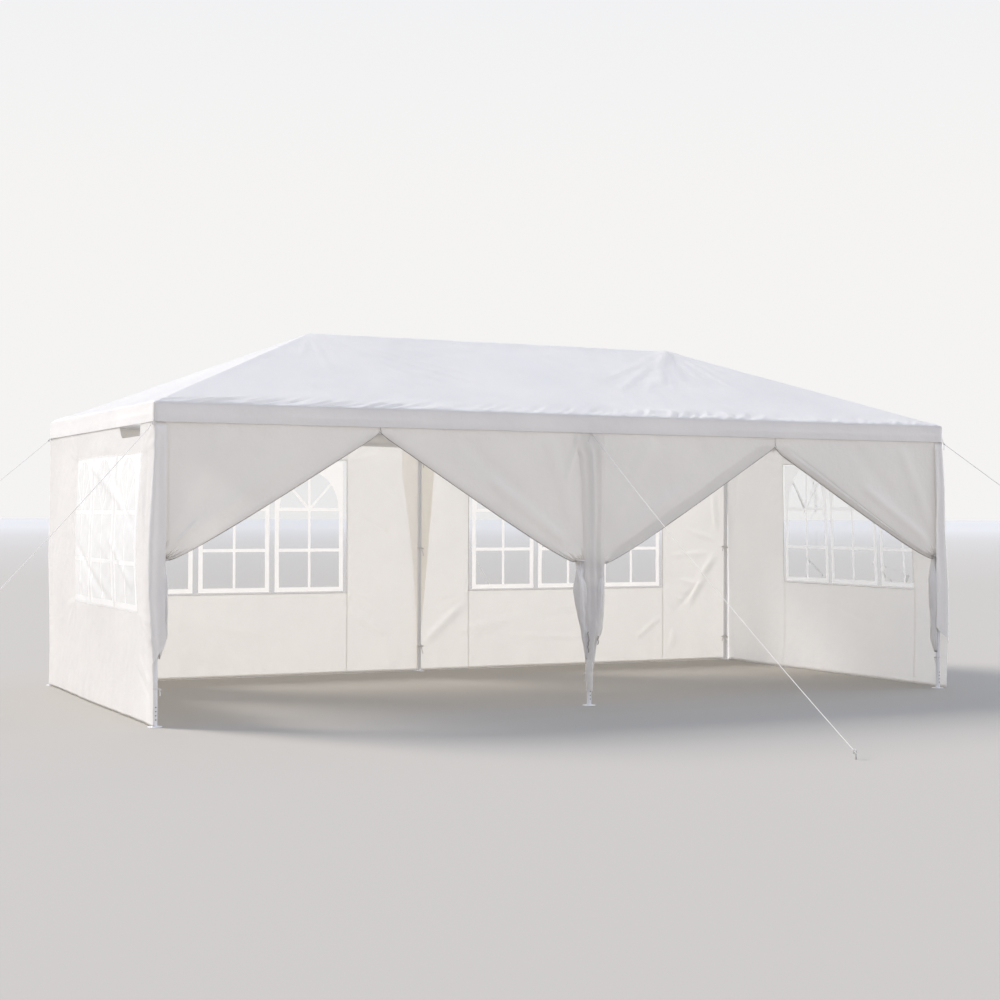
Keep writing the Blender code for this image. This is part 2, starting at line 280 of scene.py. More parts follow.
# %% [markdown]
# The legs and rails are thin steel tube with a white powder coat: satin, faintly pebbled like orange peel
# about 1 mm across, which is drawn 4 mm wide to show.

# %% Steel, film, print, rope
PEEL_SIZE = 0.004


def powder_coated_steel():
    material, tree, out = new_material("white_powder_coated_steel")
    space = add_node(tree, "ShaderNodeTexCoord")
    peel = add_node(tree, "ShaderNodeTexNoise", {"Vector": space.outputs["Object"], "Scale": 1 / PEEL_SIZE})
    bump = add_node(tree, "ShaderNodeBump", {"Height": peel.outputs[0], "Distance": 0.0001, "Strength": 0.6})
    shader = add_node(tree, "ShaderNodeBsdfPrincipled",
                      {"Base Color": linear("E2E2E3"), "Roughness": 0.34, "Normal": bump.outputs[0]})
    tree.links.new(shader.outputs[0], out.inputs["Surface"])
    return material


def shallow_view(tree, normal=None):
    """0 where the film is seen squarely, 1 where it is seen at a shallow angle and only shines."""
    inputs = {"Blend": 0.30, "Normal": normal} if normal else {"Blend": 0.30}
    glance = add_node(tree, "ShaderNodeLayerWeight", inputs)
    edge = add_node(tree, "ShaderNodeMapRange",
                    {"Value": glance.outputs["Facing"], "From Min": 0.28, "From Max": 0.38},
                    interpolation_type="SMOOTHSTEP")
    return edge.outputs[0]


def clear_vinyl_film():
    """Soft clear PVC. Light goes straight through it, but at a shallow angle a pale grey, nearly opaque colour
    paints its reflection of the white sky.
    """
    material, tree, out = new_material("clear_vinyl_film")
    space = add_node(tree, "ShaderNodeTexCoord")
    lumps = add_node(tree, "ShaderNodeTexNoise", {"Vector": space.outputs["Object"], "Scale": 9.0, "Detail": 1.0})
    bump = add_node(tree, "ShaderNodeBump", {"Height": lumps.outputs[0], "Distance": 0.0015, "Strength": 0.6})
    shallow = shallow_view(tree, bump.outputs[0])
    # Painted reflection: at a shallow angle the film turns nearly opaque and pale grey, for the white sky it
    # reflects.
    solid = add_node(tree, "ShaderNodeMapRange", {"Value": shallow, "To Min": 0.15, "To Max": 0.92})
    tint = add_node(tree, "ShaderNodeValToRGB", {0: shallow})
    tint.color_ramp.elements[0].color = linear("C4CED6")
    tint.color_ramp.elements[1].color = linear("DDDDDB")
    dull = add_node(tree, "ShaderNodeMapRange", {"Value": shallow, "To Min": 0.12, "To Max": 0.45})
    shader = add_node(tree, "ShaderNodeBsdfPrincipled",
                      {"Base Color": tint.outputs[0], "Roughness": dull.outputs[0], "IOR": 1.45,
                       "Normal": bump.outputs[0], "Alpha": solid.outputs[0]})
    tree.links.new(shader.outputs[0], out.inputs["Surface"])
    return material


def printed_white():
    """The glazing bars are white ink printed on the film. They glow when the light is behind, and shine with it."""
    material, tree, out = new_material("white_ink_on_vinyl")
    shader = add_node(tree, "ShaderNodeBsdfPrincipled", {"Base Color": linear("F7F7F6"), "Roughness": 0.30})
    glow = add_node(tree, "ShaderNodeBsdfTranslucent", {"Color": linear("FFFDF9")})
    share = add_node(tree, "ShaderNodeMapRange", {"Value": shallow_view(tree), "To Min": 0.45, "To Max": 0.26})
    both = add_node(tree, "ShaderNodeMixShader", {0: share.outputs[0], 1: shader.outputs[0], 2: glow.outputs[0]})
    tree.links.new(both.outputs[0], out.inputs["Surface"])
    return material


def plain_finish(name, colour, roughness, metallic=0.0, through=0.0):
    """A small part's finish, such as rope, tape or wire, with a fine grain. Thin plastic lets light through."""
    material, tree, out = new_material(name)
    space = add_node(tree, "ShaderNodeTexCoord")
    grain = add_node(tree, "ShaderNodeTexNoise", {"Vector": space.outputs["Object"], "Scale": 160.0, "Detail": 2.0})
    spread = add_node(tree, "ShaderNodeMapRange",
                      {"Value": grain.outputs[0], "To Min": roughness - 0.08, "To Max": roughness + 0.08})
    bump = add_node(tree, "ShaderNodeBump", {"Height": grain.outputs[0], "Distance": 0.0004, "Strength": 0.5})
    shader = add_node(tree, "ShaderNodeBsdfPrincipled",
                      {"Base Color": linear(colour), "Roughness": spread.outputs[0], "Metallic": metallic,
                       "Normal": bump.outputs[0]})
    surface = shader.outputs[0]
    if through:
        glow = add_node(tree, "ShaderNodeBsdfTranslucent", {"Color": linear(colour)})
        surface = add_node(tree, "ShaderNodeMixShader", {0: through, 1: surface, 2: glow.outputs[0]}).outputs[0]
    tree.links.new(surface, out.inputs["Surface"])
    return material


FLOOR = studio_floor()
CLOTH_COLOURS = ("EFEDEB", "E9E7E6")
TARPAULIN = polyethylene_tarpaulin("woven_polyethylene_tarpaulin", CLOTH_COLOURS, "F8F5EE", SHARE_THROUGH)
LAYERS = polyethylene_tarpaulin("layered_polyethylene_tarpaulin", CLOTH_COLOURS, "F8F5EE", SHARE_THROUGH_LAYERS)
LAPS = polyethylene_tarpaulin("thin_polyethylene_tarpaulin", CLOTH_COLOURS, "F8F5EE", SHARE_THROUGH_LAPS)
STEEL = powder_coated_steel()
FILM = clear_vinyl_film()
PRINT = printed_white()
ROPE = plain_finish("twisted_polypropylene_rope", "EFEDEA", 0.55, through=0.45)
# The ribbon's light grey is painted shade: white ribbon given the tone of the cloth in shade.
RIBBON_IN_PAINTED_SHADE = plain_finish("woven_polyester_ribbon_in_painted_shade", "DEDBD8", 0.6)
# The zips are real, and their mid grey also paints the shade line along each door's rolled edge.
ZIP_AND_PAINTED_EDGE_SHADE = plain_finish("nylon_zip_and_painted_edge_shade", "8F8A86", 0.5)
WIRE = plain_finish("galvanised_wire", "B9BBBC", 0.35, metallic=1.0)
# The holes in the legs are shallow dark discs: painted shade stands for their depth.
PAINTED_HOLE_SHADE = plain_finish("painted_shade_of_hole_in_steel", "2B2A2A", 0.8)
floor.data.materials.append(FLOOR)
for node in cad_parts.values():
    node.data.materials.clear()
    node.data.materials.append(STEEL)
print("finishes:", len(bpy.data.materials))

# %% [markdown]
# ## Making cloth
# Every panel is a grid of points. A function says where each point of the flat cloth hangs, and the folds
# are added there, so the cloth is one continuous skin with its creases in the mesh and not only in the
# shading. The cloth is really 0.2 mm thick, so one layer of faces stands for it, and its hems are turned
# over as real ones are, which makes them darker when the light is behind.

# %% Cloth helpers
UP = Vector((0, 0, 1))


def steps(end, count):
    """Even steps from 0 to end, both among them."""
    return [end * k / count for k in range(count + 1)]


def stations(marks, step):
    """Points from the first mark to the last, no further apart than step, with every mark among them."""
    points = [marks[0]]
    for start, end in zip(marks, marks[1:]):
        count = max(1, math.ceil((end - start) / step - 1e-6))
        points += [start + (end - start) * i / count for i in range(1, count + 1)]
    return points


def ease(low, high, value):
    """0 below low, 1 above high, and a soft step between them."""
    t = min(max((value - low) / (high - low), 0.0), 1.0)
    return t * t * (3 - 2 * t)


def bell(offset, width):
    """1 where the offset is 0, and soon nothing beyond that width."""
    return exp(-(offset / width) ** 2)


def lumps(x, y, size, seed):
    """Smooth unevenness from about -1 to 1, in lumps of that size."""
    return noise.noise(Vector((x / size, y / size, seed * 7.31)))


def crease(x, y, fold, fade=0.5):
    """How far a fold lifts the cloth at x, y. It is a soft ridge, given by both coordinates of its start and
    of its end, its width and its height. It fades at both ends, more slowly the nearer fade is to 1."""
    start_x, start_y, end_x, end_y, width, height = fold
    run_x, run_y = end_x - start_x, end_y - start_y
    length = hypot(run_x, run_y)
    along = ((x - start_x) * run_x + (y - start_y) * run_y) / length ** 2
    if not 0 < along < 1:
        return 0.0
    across = ((x - start_x) * run_y - (y - start_y) * run_x) / length
    return height * bell(across, width) * ease(0.0, fade, sin(pi * along))


def grid_faces(lines, across, closed=False, flip=False):
    """Faces over points stored line by line. closed joins the ends of a line, flip turns the faces over."""
    faces = []
    for line in range(lines - 1):
        for k in range(across if closed else across - 1):
            a, b = line * across + k, line * across + (k + 1) % across
            faces.append((a, a + across, b + across, b) if flip else (a, b, b + across, a + across))
    return faces


def add_piece(name, points, faces, finish, cloth=None):
    """A smooth mesh that rides on the tent. cloth gives each point's place on the flat cloth, in metres."""
    mesh = bpy.data.meshes.new(name)
    mesh.from_pydata(points, [], faces)
    mesh.materials.append(finish)
    mesh.shade_smooth()
    if cloth:
        layer = mesh.uv_layers.new(name="cloth")
        for loop in mesh.loops:
            layer.data[loop.index].uv = cloth[loop.vertex_index]
    piece = place_in_scene(name, mesh)
    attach(piece, ROOT)
    return piece


def join_shapes(name, shapes, finish):
    """One piece from several shapes, each with its points, its faces and, for cloth, its flat places."""
    points, faces, cloth = [], [], []
    for more_points, more_faces, *more_cloth in shapes:
        faces += [tuple(len(points) + corner for corner in face) for face in more_faces]
        points += more_points
        cloth += sum(more_cloth, [])
    return add_piece(name, points, faces, finish, cloth)


def cloth_sheet(name, columns, rows, hang, keep=None):
    """Cloth as a grid. hang(column, row) is a point in space, and keep says which cells there are."""
    used, points, cloth, faces = {}, [], [], []

    def corner(i, j):
        if (i, j) not in used:
            used[i, j] = len(points)
            points.append(hang(columns[i], rows[j]))
            cloth.append((columns[i], rows[j]))
        return used[i, j]

    for j in range(len(rows) - 1):
        for i in range(len(columns) - 1):
            if keep is None or keep((columns[i] + columns[i + 1]) / 2, (rows[j] + rows[j + 1]) / 2):
                faces.append((corner(i, j), corner(i + 1, j), corner(i + 1, j + 1), corner(i, j + 1)))
    return add_piece(name, points, faces, TARPAULIN, cloth)


def refinish(piece, finish, chosen):
    """Gives another finish to the faces whose middles are chosen, such as where the cloth is layered."""
    piece.data.materials.append(finish)
    for polygon in piece.data.polygons:
        if chosen(polygon.center):
            polygon.material_index = 1


def count_faces(*pieces):
    return sum(len(piece.data.polygons) for piece in pieces)


# %% [markdown]
# ## Roof cover
# One sewn cover lies over the frame. Going round the eave gives the columns of its grid, and going from the
# hem up the valance, over the eave tube and up the slope to the ridge gives its rows. The corners are
# rounded, so the hips come out soft. The cloth sags a little between the rafters, puckers where it is
# stretched over the eave tube, and is drawn into small folds at both ends of the ridge.

# %% Roof sizes
ROOF_STEP = 0.020
ROOF_ROWS = 56
CORNER_ROUND = 0.022
CORNER_TURNS = (0, 22.5, 45, 67.5)
EAVE_ROUND = 0.011
HEM_WIDTH = 0.030
# The rows of the cover are close together on the valance and on the puckered strip above the eave
VALANCE_STEP = 0.011
PUCKERED_STRIP, PUCKERED_STEP = 0.125, 0.012
SAG = 0.018
CLEAR_OF_TUBES = 0.0008
RISE = RIDGE_Z - EAVE_Z
SIDE_PITCH = math.atan2(RISE, HALF_WIDTH)
END_PITCH = math.atan2(RISE, HALF_LENGTH - PEAK_X)
VALANCE = EAVE_Z - HEM_Z

# Where the cover is stretched most over the eave tube, along X, and how hard each ridge end is drawn in
PUCKERED_AT = (-2.45, -1.75, 0.35, 1.10, 2.50)
PUCKER_HEIGHT = 0.0115
PEAK_PULL = {-1: 0.8, 1: 1.35}
# Folds drawn into each ridge end: direction in degrees from -Y towards the nearer end, reach, width, height
PEAK_FOLDS = (
    (-58, 0.42, 0.020, 0.0045), (-40, 0.60, 0.024, 0.0060), (-22, 0.75, 0.024, 0.0055),
    (-6, 0.62, 0.020, 0.0050), (10, 0.80, 0.026, 0.0055), (26, 0.55, 0.022, 0.0045),
    (-34, 0.95, 0.030, 0.0090), (62, 0.50, 0.024, 0.0040), (84, 0.65, 0.030, 0.0045),
    (118, 0.55, 0.024, 0.0040), (150, 0.60, 0.026, 0.0050), (176, 0.72, 0.026, 0.0050),
    (204, 0.55, 0.024, 0.0045), (-38, 1.25, 0.022, 0.0050), (-46, 1.40, 0.024, 0.0060),
    (-54, 1.25, 0.022, 0.0048), (-28, 1.05, 0.020, 0.0042),
)
PEAK_REACH = 1.2


# %% Roof shape
def level_way(turn):
    """A level direction, turned by that many degrees from -Y towards +X."""
    return Vector((sin(radians(turn)), -cos(radians(turn)), 0))


def eave_columns():
    """Stations round the eave: distance round, place, outward direction and the point of the ridge above."""
    straight_x, straight_y = HALF_LENGTH - CORNER_ROUND, HALF_WIDTH - CORNER_ROUND
    made = []
    for turn in (0, 90, 180, 270):
        out = level_way(turn)
        right = Vector((-out.y, out.x, 0))
        half, reach = (straight_x, HALF_WIDTH) if turn in (0, 180) else (straight_y, HALF_LENGTH)
        run = stations([-half, 0, half], ROOF_STEP)[:-1]
        made += [(out * reach + right * station, out) for station in run]
        pivot = out * (reach - CORNER_ROUND) + right * half
        for away in (level_way(turn + angle) for angle in CORNER_TURNS):
            made.append((pivot + away * CORNER_ROUND, away))
    made.append(made[0])
    columns, travelled = [], 0.0
    for number, (place, out) in enumerate(made):
        if number:
            travelled += (place - made[number - 1][0]).length
        top = Vector((max(-PEAK_X, min(PEAK_X, place.x * PEAK_X / straight_x)), 0, RIDGE_Z))
        columns.append((travelled, place, out, top))
    return columns


def roof_lift(x, y, travelled, up, share, ends):
    """How far the cloth stands off the flat slope, up metres from the eave, that share of the way up."""
    beside = min(hypot(x, 0.12) / (HALF_LENGTH - (HALF_LENGTH - PEAK_X) * share + 1e-6), 1.0)
    across = cos(pi / 2 * min(abs(y) / (HALF_WIDTH * (1 - share) + 1e-6), 1.0))
    slack = across * (1 - 0.6 * share) if ends else sin(pi * beside)
    slanted = travelled - 0.9 * up
    puckers = lumps(slanted, up * 0.25, 0.080, 3) + 0.75 * lumps(slanted, up * 0.25, 0.045, 4)
    tightness = 0.35 + 1.3 * max(0.0, lumps(travelled, 0, 0.7, 5))
    tightness += sum(1.1 * bell(x - middle, 0.55) for middle in PUCKERED_AT)
    lift = CLEAR_OF_TUBES - SAG * slack * sin(pi * share)
    lift += 0.0035 * bell(up - 0.045, 0.035) + PUCKER_HEIGHT * bell(up - 0.085, 0.085) * puckers * tightness
    lift += (0.25 + 0.75 * slack) * (0.0060 * lumps(x, y, 0.34, 6) + 0.0042 * lumps(x, y, 0.12, 7))
    for end in (-1, 1):
        if abs(x - end * PEAK_X) > PEAK_REACH:
            continue
        for angle, reach, width, height in PEAK_FOLDS:
            way = level_way(angle)
            tip = (end * (PEAK_X + reach * way.x), reach * way.y)
            lift += crease(x, y, (end * PEAK_X, 0, *tip, width, height * PEAK_PULL[end]))
    return lift


def roof_point(column, distance):
    """A point of the cover, that distance up from the eave along the cloth, or down the valance."""
    travelled, place, out, top = column
    eave = Vector((place.x, place.y, EAVE_Z))
    slope = top - eave

    def taut(level):
        return eave + slope * min(level / slope.length, 1.0) if level > 0 else eave + UP * level

    turned_up = max(0.0, -distance - VALANCE)
    level = max(distance, -VALANCE) + turned_up
    point = taut(level)
    if abs(level) < 2 * EAVE_ROUND:
        point = (taut(level - EAVE_ROUND) + point * 2 + taut(level + EAVE_ROUND)) / 4
    if level > 0:
        pitch = SIDE_PITCH if abs(out.y) > abs(out.x) else END_PITCH
        upward = (out * sin(pitch) + UP * cos(pitch)).normalized()
        facing = out.lerp(upward, ease(-EAVE_ROUND, 2 * EAVE_ROUND, level)).normalized()
        share = min(level / slope.length, 1.0)
        lift = roof_lift(point.x, point.y, travelled, level, share, abs(out.x) > abs(out.y))
        return point + facing * (lift * ease(0, 0.02, level) * (1 - 0.7 * ease(0.985, 1.0, share)))
    drop = -level
    loose = ease(0.01, VALANCE, drop)
    lift = loose * (0.0040 * (1 + lumps(travelled, 0, 0.45, 8)) + 0.0016 * lumps(travelled, drop, 0.09, 9))
    wander = 0.072 + 0.010 * lumps(travelled, 0, 0.8, 10)
    lift += 0.0026 * bell(drop - wander, 0.009) * ease(-0.2, 0.5, lumps(travelled, 0, 1.1, 11))
    lift += 0.0020 * bell(drop - 0.022, 0.010) * lumps(travelled, 0, 0.12, 12)
    lift -= min(turned_up, 0.002) * 0.8
    return point + out * lift + UP * (0.0016 * loose * lumps(travelled, 0, 0.22, 13))


def roof_cover():
    columns = eave_columns()
    low_rows = [-VALANCE - HEM_WIDTH, -VALANCE - HEM_WIDTH / 2, -VALANCE - 0.003]
    low_rows += stations([-VALANCE, -VALANCE + 0.002, -2 * EAVE_ROUND], VALANCE_STEP)
    low_rows += [-EAVE_ROUND, -EAVE_ROUND / 2, 0, EAVE_ROUND / 2]
    low_rows += stations([EAVE_ROUND, PUCKERED_STRIP], PUCKERED_STEP)
    top = low_rows[-1]
    points, cloth = [], []
    for column in columns:
        length = (column[3] - Vector((column[1].x, column[1].y, EAVE_Z))).length
        heights = low_rows + [top + (length - top) * share for share in steps(1, ROOF_ROWS)[1:]]
        points += [roof_point(column, height) for height in heights]
        cloth += [(column[0], height) for height in heights]
    faces = grid_faces(len(columns), len(heights), flip=True)
    cover = add_piece("roof_cover_cloth", points, faces, TARPAULIN, cloth)
    grid = bmesh.new()
    grid.from_mesh(cover.data)
    bmesh.ops.remove_doubles(grid, verts=grid.verts, dist=0.0002)
    bmesh.ops.dissolve_degenerate(grid, edges=grid.edges, dist=0.0001)
    grid.to_mesh(cover.data)
    grid.free()
    refinish(cover, LAYERS, lambda middle: middle.z < EAVE_Z - EAVE_ROUND)
    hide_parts("roof_cover")
    return cover


cover = roof_cover()
print("roof cover:", count_faces(cover), "faces")

# %% [markdown]
# ## Walls
# Each wall panel hangs inside the valance from ties on the eave rail and stops at the ground. The end walls
# are slack and belly outwards. A panel's grid has stations at the edges of its window, so that the hole has
# straight edges, and its bottom edge is turned up as a hem.

# %% Wall sizes
WALL_STEP = 0.018
HEM_TURNED = 0.018
HEM_IN = 0.0015
# The slack end walls cover the rims of their windows: at the front, the back, the bottom and the top
COVERED = {"left_end": (0.0, 0.13, 0.02, 0.055), "right_end": (0.139, 0.075, 0.070, 0.0)}
# Where each window starts and ends along its wall, its bottom and its top
WINDOWS = {}
for side in ("left_end", "right_end", "back_left", "back_right"):
    low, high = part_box(f"window_{side}")
    axis = 1 if side in COVERED else 0
    front, back, bottom, top = COVERED.get(side, (0, 0, 0, 0))
    low, high = low + Vector((0, front, bottom)), high - Vector((0, back, top))
    WINDOWS[side] = (low[axis], high[axis], low.z, high.z)
print("windows:", {side: f"{sizes[0]:.2f} to {sizes[1]:.2f}" for side, sizes in WINDOWS.items()})

# Creases that the photograph shows: start and end along the wall and up, width and height, in metres
WALL_CREASES = {
    "left_end": (
        (-1.20, 1.60, -1.42, 1.10, 0.03, 0.010), (-1.32, 1.74, -1.40, 0.90, 0.02, -0.008),
        (-1.15, 0.42, -1.43, 0.22, 0.022, 0.010), (-1.05, 0.36, -1.40, 0.14, 0.018, -0.008),
        (1.30, 1.20, 1.36, 0.50, 0.02, 0.006),
    ),
    "right_end": (
        (-1.10, 0.55, -1.42, 0.30, 0.025, 0.010), (0.20, 0.60, -0.90, 0.35, 0.030, 0.006),
        (-1.20, 0.80, -1.44, 0.62, 0.018, 0.008), (1.25, 1.75, 1.38, 1.00, 0.02, 0.010),
    ),
    "back_left": (
        (-0.62, 0.54, -0.26, 0.28, 0.040, 0.012), (-0.55, 1.30, -0.12, 1.02, 0.025, -0.006),
        (-0.10, 1.35, -0.50, 1.70, 0.030, 0.006), (-1.90, 0.45, -1.20, 0.30, 0.045, 0.008),
    ),
    "back_right": (
        (2.91, 0.99, 2.58, 0.44, 0.032, 0.026), (2.86, 1.52, 2.90, 1.12, 0.022, 0.022),
        (2.45, 0.42, 2.90, 0.88, 0.020, -0.016), (2.06, 0.20, 2.33, 0.40, 0.018, 0.014),
        (2.38, 0.93, 2.84, 0.95, 0.014, 0.011), (2.43, 0.10, 2.46, 0.30, 0.026, 0.015),
        (2.55, 1.18, 2.92, 1.05, 0.016, 0.012), (2.50, 0.72, 2.80, 0.66, 0.014, 0.009),
        (0.00, 0.18, 0.46, 0.59, 0.032, 0.021), (0.25, 0.30, 1.05, 0.44, 0.045, 0.008),
        (0.75, 0.28, 1.75, 0.22, 0.020, 0.006), (1.10, 0.40, 1.90, 0.50, 0.025, -0.005),
    ),
}
# The creases that fan out from a window's corners: turn in radians, reach and height, and their width
CORNER_FOLDS, CORNER_FOLD_WIDTH = ((0.25, 0.30, 0.0035), (0.70, 0.36, 0.0040), (1.25, 0.28, 0.0030)), 0.016
# Where the top of the left wall has slipped down between two of its ties: from one to the other, and how far
SLIPPED_TOP, SLIPPED_BY = (-1.158, -1.140, -0.715, -0.500), 0.192
# Up to here a wall isn't changed by a slipped top
SLIPPED_FROM = 1.65
# The two back walls lap over each other, so they stand this far from their common plane
LAPPED = {"back_left": -0.0008, "back_right": 0.0016}


# %% Wall shape
def outwards(side, reach):
    """A step of that length out of the tent, through a wall."""
    if side.endswith("end"):
        return Vector((-reach if side == "left_end" else reach, 0, 0))
    return Vector((0, reach, 0))


def wall_belly(side, along, height):
    """How far the wall stands outside its flat plane."""
    top = ease(HEM_Z, HEM_Z - 0.14, height)
    if side == "left_end":
        near_front = 0.35 + 0.65 * ease(LEG_Y, -LEG_Y + 0.5, along)
        round_leg = 1 - 0.12 * ease(0.35, 0.0, along + LEG_Y)
        belly = 0.040 * max(0.0, sin(pi * ease(0.10, 1.90, height))) * near_front * round_leg
        belly += 0.010 * lumps(along, height, 0.55, 21) * top
    elif side == "right_end":
        near_front = 0.25 + 0.75 * ease(LEG_Y, -LEG_Y + 0.6, along)
        belly = 0.058 * ease(1.80, 0.45, height) * (1 - 0.22 * ease(0.35, 0.0, height)) * near_front
        belly += 0.016 * lumps(along, height, 0.55, 22) * top
    else:
        free = ease(0.03, 0.30, min(abs(abs(along) - LEG_X), abs(along)))
        belly = free * top * (0.010 + 0.014 * lumps(along, height * 0.6, 0.75, 23)) + 0.0015
        belly += 0.0035 * top * free * lumps(along, height, 0.16, 24)
    hem_wave = 0.006 * ease(0.30, 0.0, height) * lumps(along, 0, 0.16, 25)
    return belly + hem_wave + 0.0022 * top * lumps(along, height, 0.07, 26)


def wall_folds(side, along, height):
    """Creases that fan out from the window's corners, and the longer ones that the photograph shows."""
    start, end, bottom, top = WINDOWS[side]
    lift = 0.0
    for edge, away in ((start, -1), (end, 1)):
        for level, tilt in ((bottom, -1), (top, 1)):
            for turn, reach, size in CORNER_FOLDS:
                tip = (edge + away * reach * cos(turn), level + tilt * reach * sin(turn) * 0.8)
                lift += crease(along, height, (edge, level, *tip, CORNER_FOLD_WIDTH, size))
    return lift + sum(crease(along, height, fold, 1.0) for fold in WALL_CREASES[side])


def wall_top(side, along):
    if side != "left_end":
        return WALL_TOP
    front_tie, front_low, back_low, back_tie = SLIPPED_TOP
    return WALL_TOP - SLIPPED_BY * min(ease(front_tie, front_low, along), ease(back_tie, back_low, along))


def wall_hang(side):
    """The function that hangs one wall: along the wall and up in metres, to a point in space."""
    ends = side.endswith("end")
    lapped = LAPPED.get(side, 0.0)

    def hang(along, up):
        turned = max(0.0, WALL_BASE - up)
        height = WALL_BASE + turned if turned else up
        if height > SLIPPED_FROM:
            share = (height - SLIPPED_FROM) / (WALL_TOP - SLIPPED_FROM)
            height = SLIPPED_FROM + (wall_top(side, along) - SLIPPED_FROM) * share
        off = wall_belly(side, along, height) + wall_folds(side, along, height) * ease(WALL_TOP, 1.75, height)
        off += lapped - min(turned, HEM_IN)
        if not ends and abs(along) < LEG_X:
            off = max(off, lapped - HEM_IN)
        if not turned:
            height -= ease(0.08, 0.0, height) * (0.0024 - 0.0012 * lumps(along, 0, 0.4, 27))
        flat = Vector((0, along, height)) if ends else Vector((along, 0, height))
        return flat + outwards(side, (END_PLANE if ends else BACK_PLANE) + off)

    return hang


# %% [markdown]
# The two back panels lap over each other at the middle leg, in a flap that narrows downwards, and the end
# panels go round the front corner legs as a loose sleeve before they meet the doors.

# %% Wall panels
# Width of each lap, height where it has narrowed to almost nothing, and how its edge curves
LAP = {"back_left": (0.140, 0.30, 0.90), "back_right": (0.150, 0.32, 1.60)}
LAP_TOP = 1.62
PAST_LEG = 0.012
# How far the sleeve goes round the leg, and the height where it ends
SLEEVE_OVER = 0.036
SLEEVE_END = {"left_end": 0.38, "right_end": 0.33}
SLEEVE_STEP = 0.016


def wall_panel(side, columns, hang, finish, chosen, missing=None):
    """One wall with the hole for its window. The chosen faces have another finish."""
    start, end, bottom, top = WINDOWS[side]
    rows = [WALL_BASE - HEM_TURNED, WALL_BASE - 0.002]
    rows += stations([WALL_BASE, bottom, top, WALL_TOP], WALL_STEP)

    def keep(along, up):
        cut = start < along < end and bottom < up < top
        return not (cut or missing and missing(along, up))

    wall = cloth_sheet(f"wall_{side}_cloth", columns, rows, hang, keep)
    refinish(wall, finish, chosen)
    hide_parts(f"wall_{side}")
    return wall


def back_wall(side):
    start, end, *_ = WINDOWS[side]
    hang = wall_hang(side)
    lap, lap_foot, lap_curve = LAP[side]
    outer = LEG_X + PAST_LEG
    way = 1 if side == "back_left" else -1
    marks = [-outer, start, end, 0.0, lap] if way > 0 else [-lap, 0.0, start, end, outer]

    def hang_lapped(along, up):
        if along * way > 0:
            rising = min(max((up - lap_foot) / (LAP_TOP - lap_foot), 0.0), 1.0)
            along *= 0.14 + 0.86 * rising ** lap_curve
        return hang(along, up)

    columns = stations(marks, WALL_STEP)
    return wall_panel(side, columns, hang_lapped, LAPS, lambda middle: middle.x * way > 0)


def end_wall(side):
    start, end, *_ = WINDOWS[side]
    hang = wall_hang(side)
    front = -HALF_WIDTH + 0.005
    columns = [front - SLEEVE_STEP * k for k in range(7, 0, -1)]
    columns += stations([front, start, end, LEG_Y + PAST_LEG], WALL_STEP)

    def hang_sleeve(along, up):
        """Past the front edge the cloth turns round the leg and lies in front of the door's edge."""
        if along >= front:
            return hang(along, up)
        edge = hang(front, up)
        past = front - along
        across = abs(edge.x) - (LEG_X - 0.004)
        radius = 0.020 + 0.006 * lumps(up, 0, 0.3, 31)
        turn = min(past / radius, pi / 2)
        rest = past - turn * radius
        x = abs(edge.x) - radius * (1 - cos(turn)) - rest * (across + SLEEVE_OVER) / 0.090
        y = edge.y - radius * sin(turn) + 0.004 * ease(0.0, 0.05, rest)
        ripple = 0.0045 * sin(past / 0.0135 + 2.5 * lumps(up, 1, 0.35, 32)) * ease(1.85, 1.6, up)
        y = min(y - ripple, -HALF_WIDTH - 0.001)
        y += (-BACK_PLANE - 0.0008 - y) * ease(HEM_Z - 0.05, HEM_Z - 0.004, up)
        slanted = 1.1 * past * ease(0.28, 0.0, up - SLEEVE_END[side])
        return Vector((math.copysign(x, edge.x), y, edge.z + slanted))

    return wall_panel(side, columns, hang_sleeve, LAYERS,
                      lambda middle: middle.y < -HALF_WIDTH - 0.0005,
                      lambda along, up: along < front and up < SLEEVE_END[side])


walls = [back_wall("back_left"), back_wall("back_right"), end_wall("left_end"), end_wall("right_end")]
print("walls:", count_faces(*walls), "faces")

# %% [markdown]
# Strips of doubled cloth cover the seams: beside the windows from top to bottom, and round each window,
# where the film is sewn in. They follow the wall's own shape, 1 mm inside it.

# %% Seams
SEAM_WIDTH = 0.009
SEAM_OFF = 0.0012
SEAM_STEP = 0.03


def seam(side, start, end):
    """A narrow strip of cloth between two places on a wall, each given along the wall and up."""
    hang = wall_hang(side)
    length = math.dist(start, end)
    run = ((end[0] - start[0]) / length, (end[1] - start[1]) / length)
    cloth = [(start[0] + run[0] * s - run[1] * edge, start[1] + run[1] * s + run[0] * edge)
             for s in stations([0, length], SEAM_STEP) for edge in (-SEAM_WIDTH / 2, SEAM_WIDTH / 2)]
    points = [hang(*spot) + outwards(side, -SEAM_OFF) for spot in cloth]
    return points, grid_faces(len(points) // 2, 2), cloth


def wall_seams(side):
    """All the seams of one wall as one piece."""
    left, right, bottom, top = WINDOWS[side]
    half = SEAM_WIDTH / 2
    shapes = [seam(side, (x, WALL_BASE + 0.01), (x, WALL_TOP - 0.08)) for x in (left - half, right + half)]
    shapes += [seam(side, (left, z), (right, z)) for z in (bottom - half, top + half)]
    return join_shapes(f"seams_{side}", shapes, TARPAULIN)


seams = [wall_seams(side) for side in WINDOWS]
print("seams:", count_faces(*seams), "faces")

# %% [markdown]
# ## Windows
# Each window is one sheet of soft clear vinyl with three arched lights printed on it in white: a frame, an
# arch, a middle bar, two cross bars and two spokes. The print is made by cutting the sheet along the bars'
# outlines, so that each face is wholly clear or wholly white, and both follow the film's wrinkles.

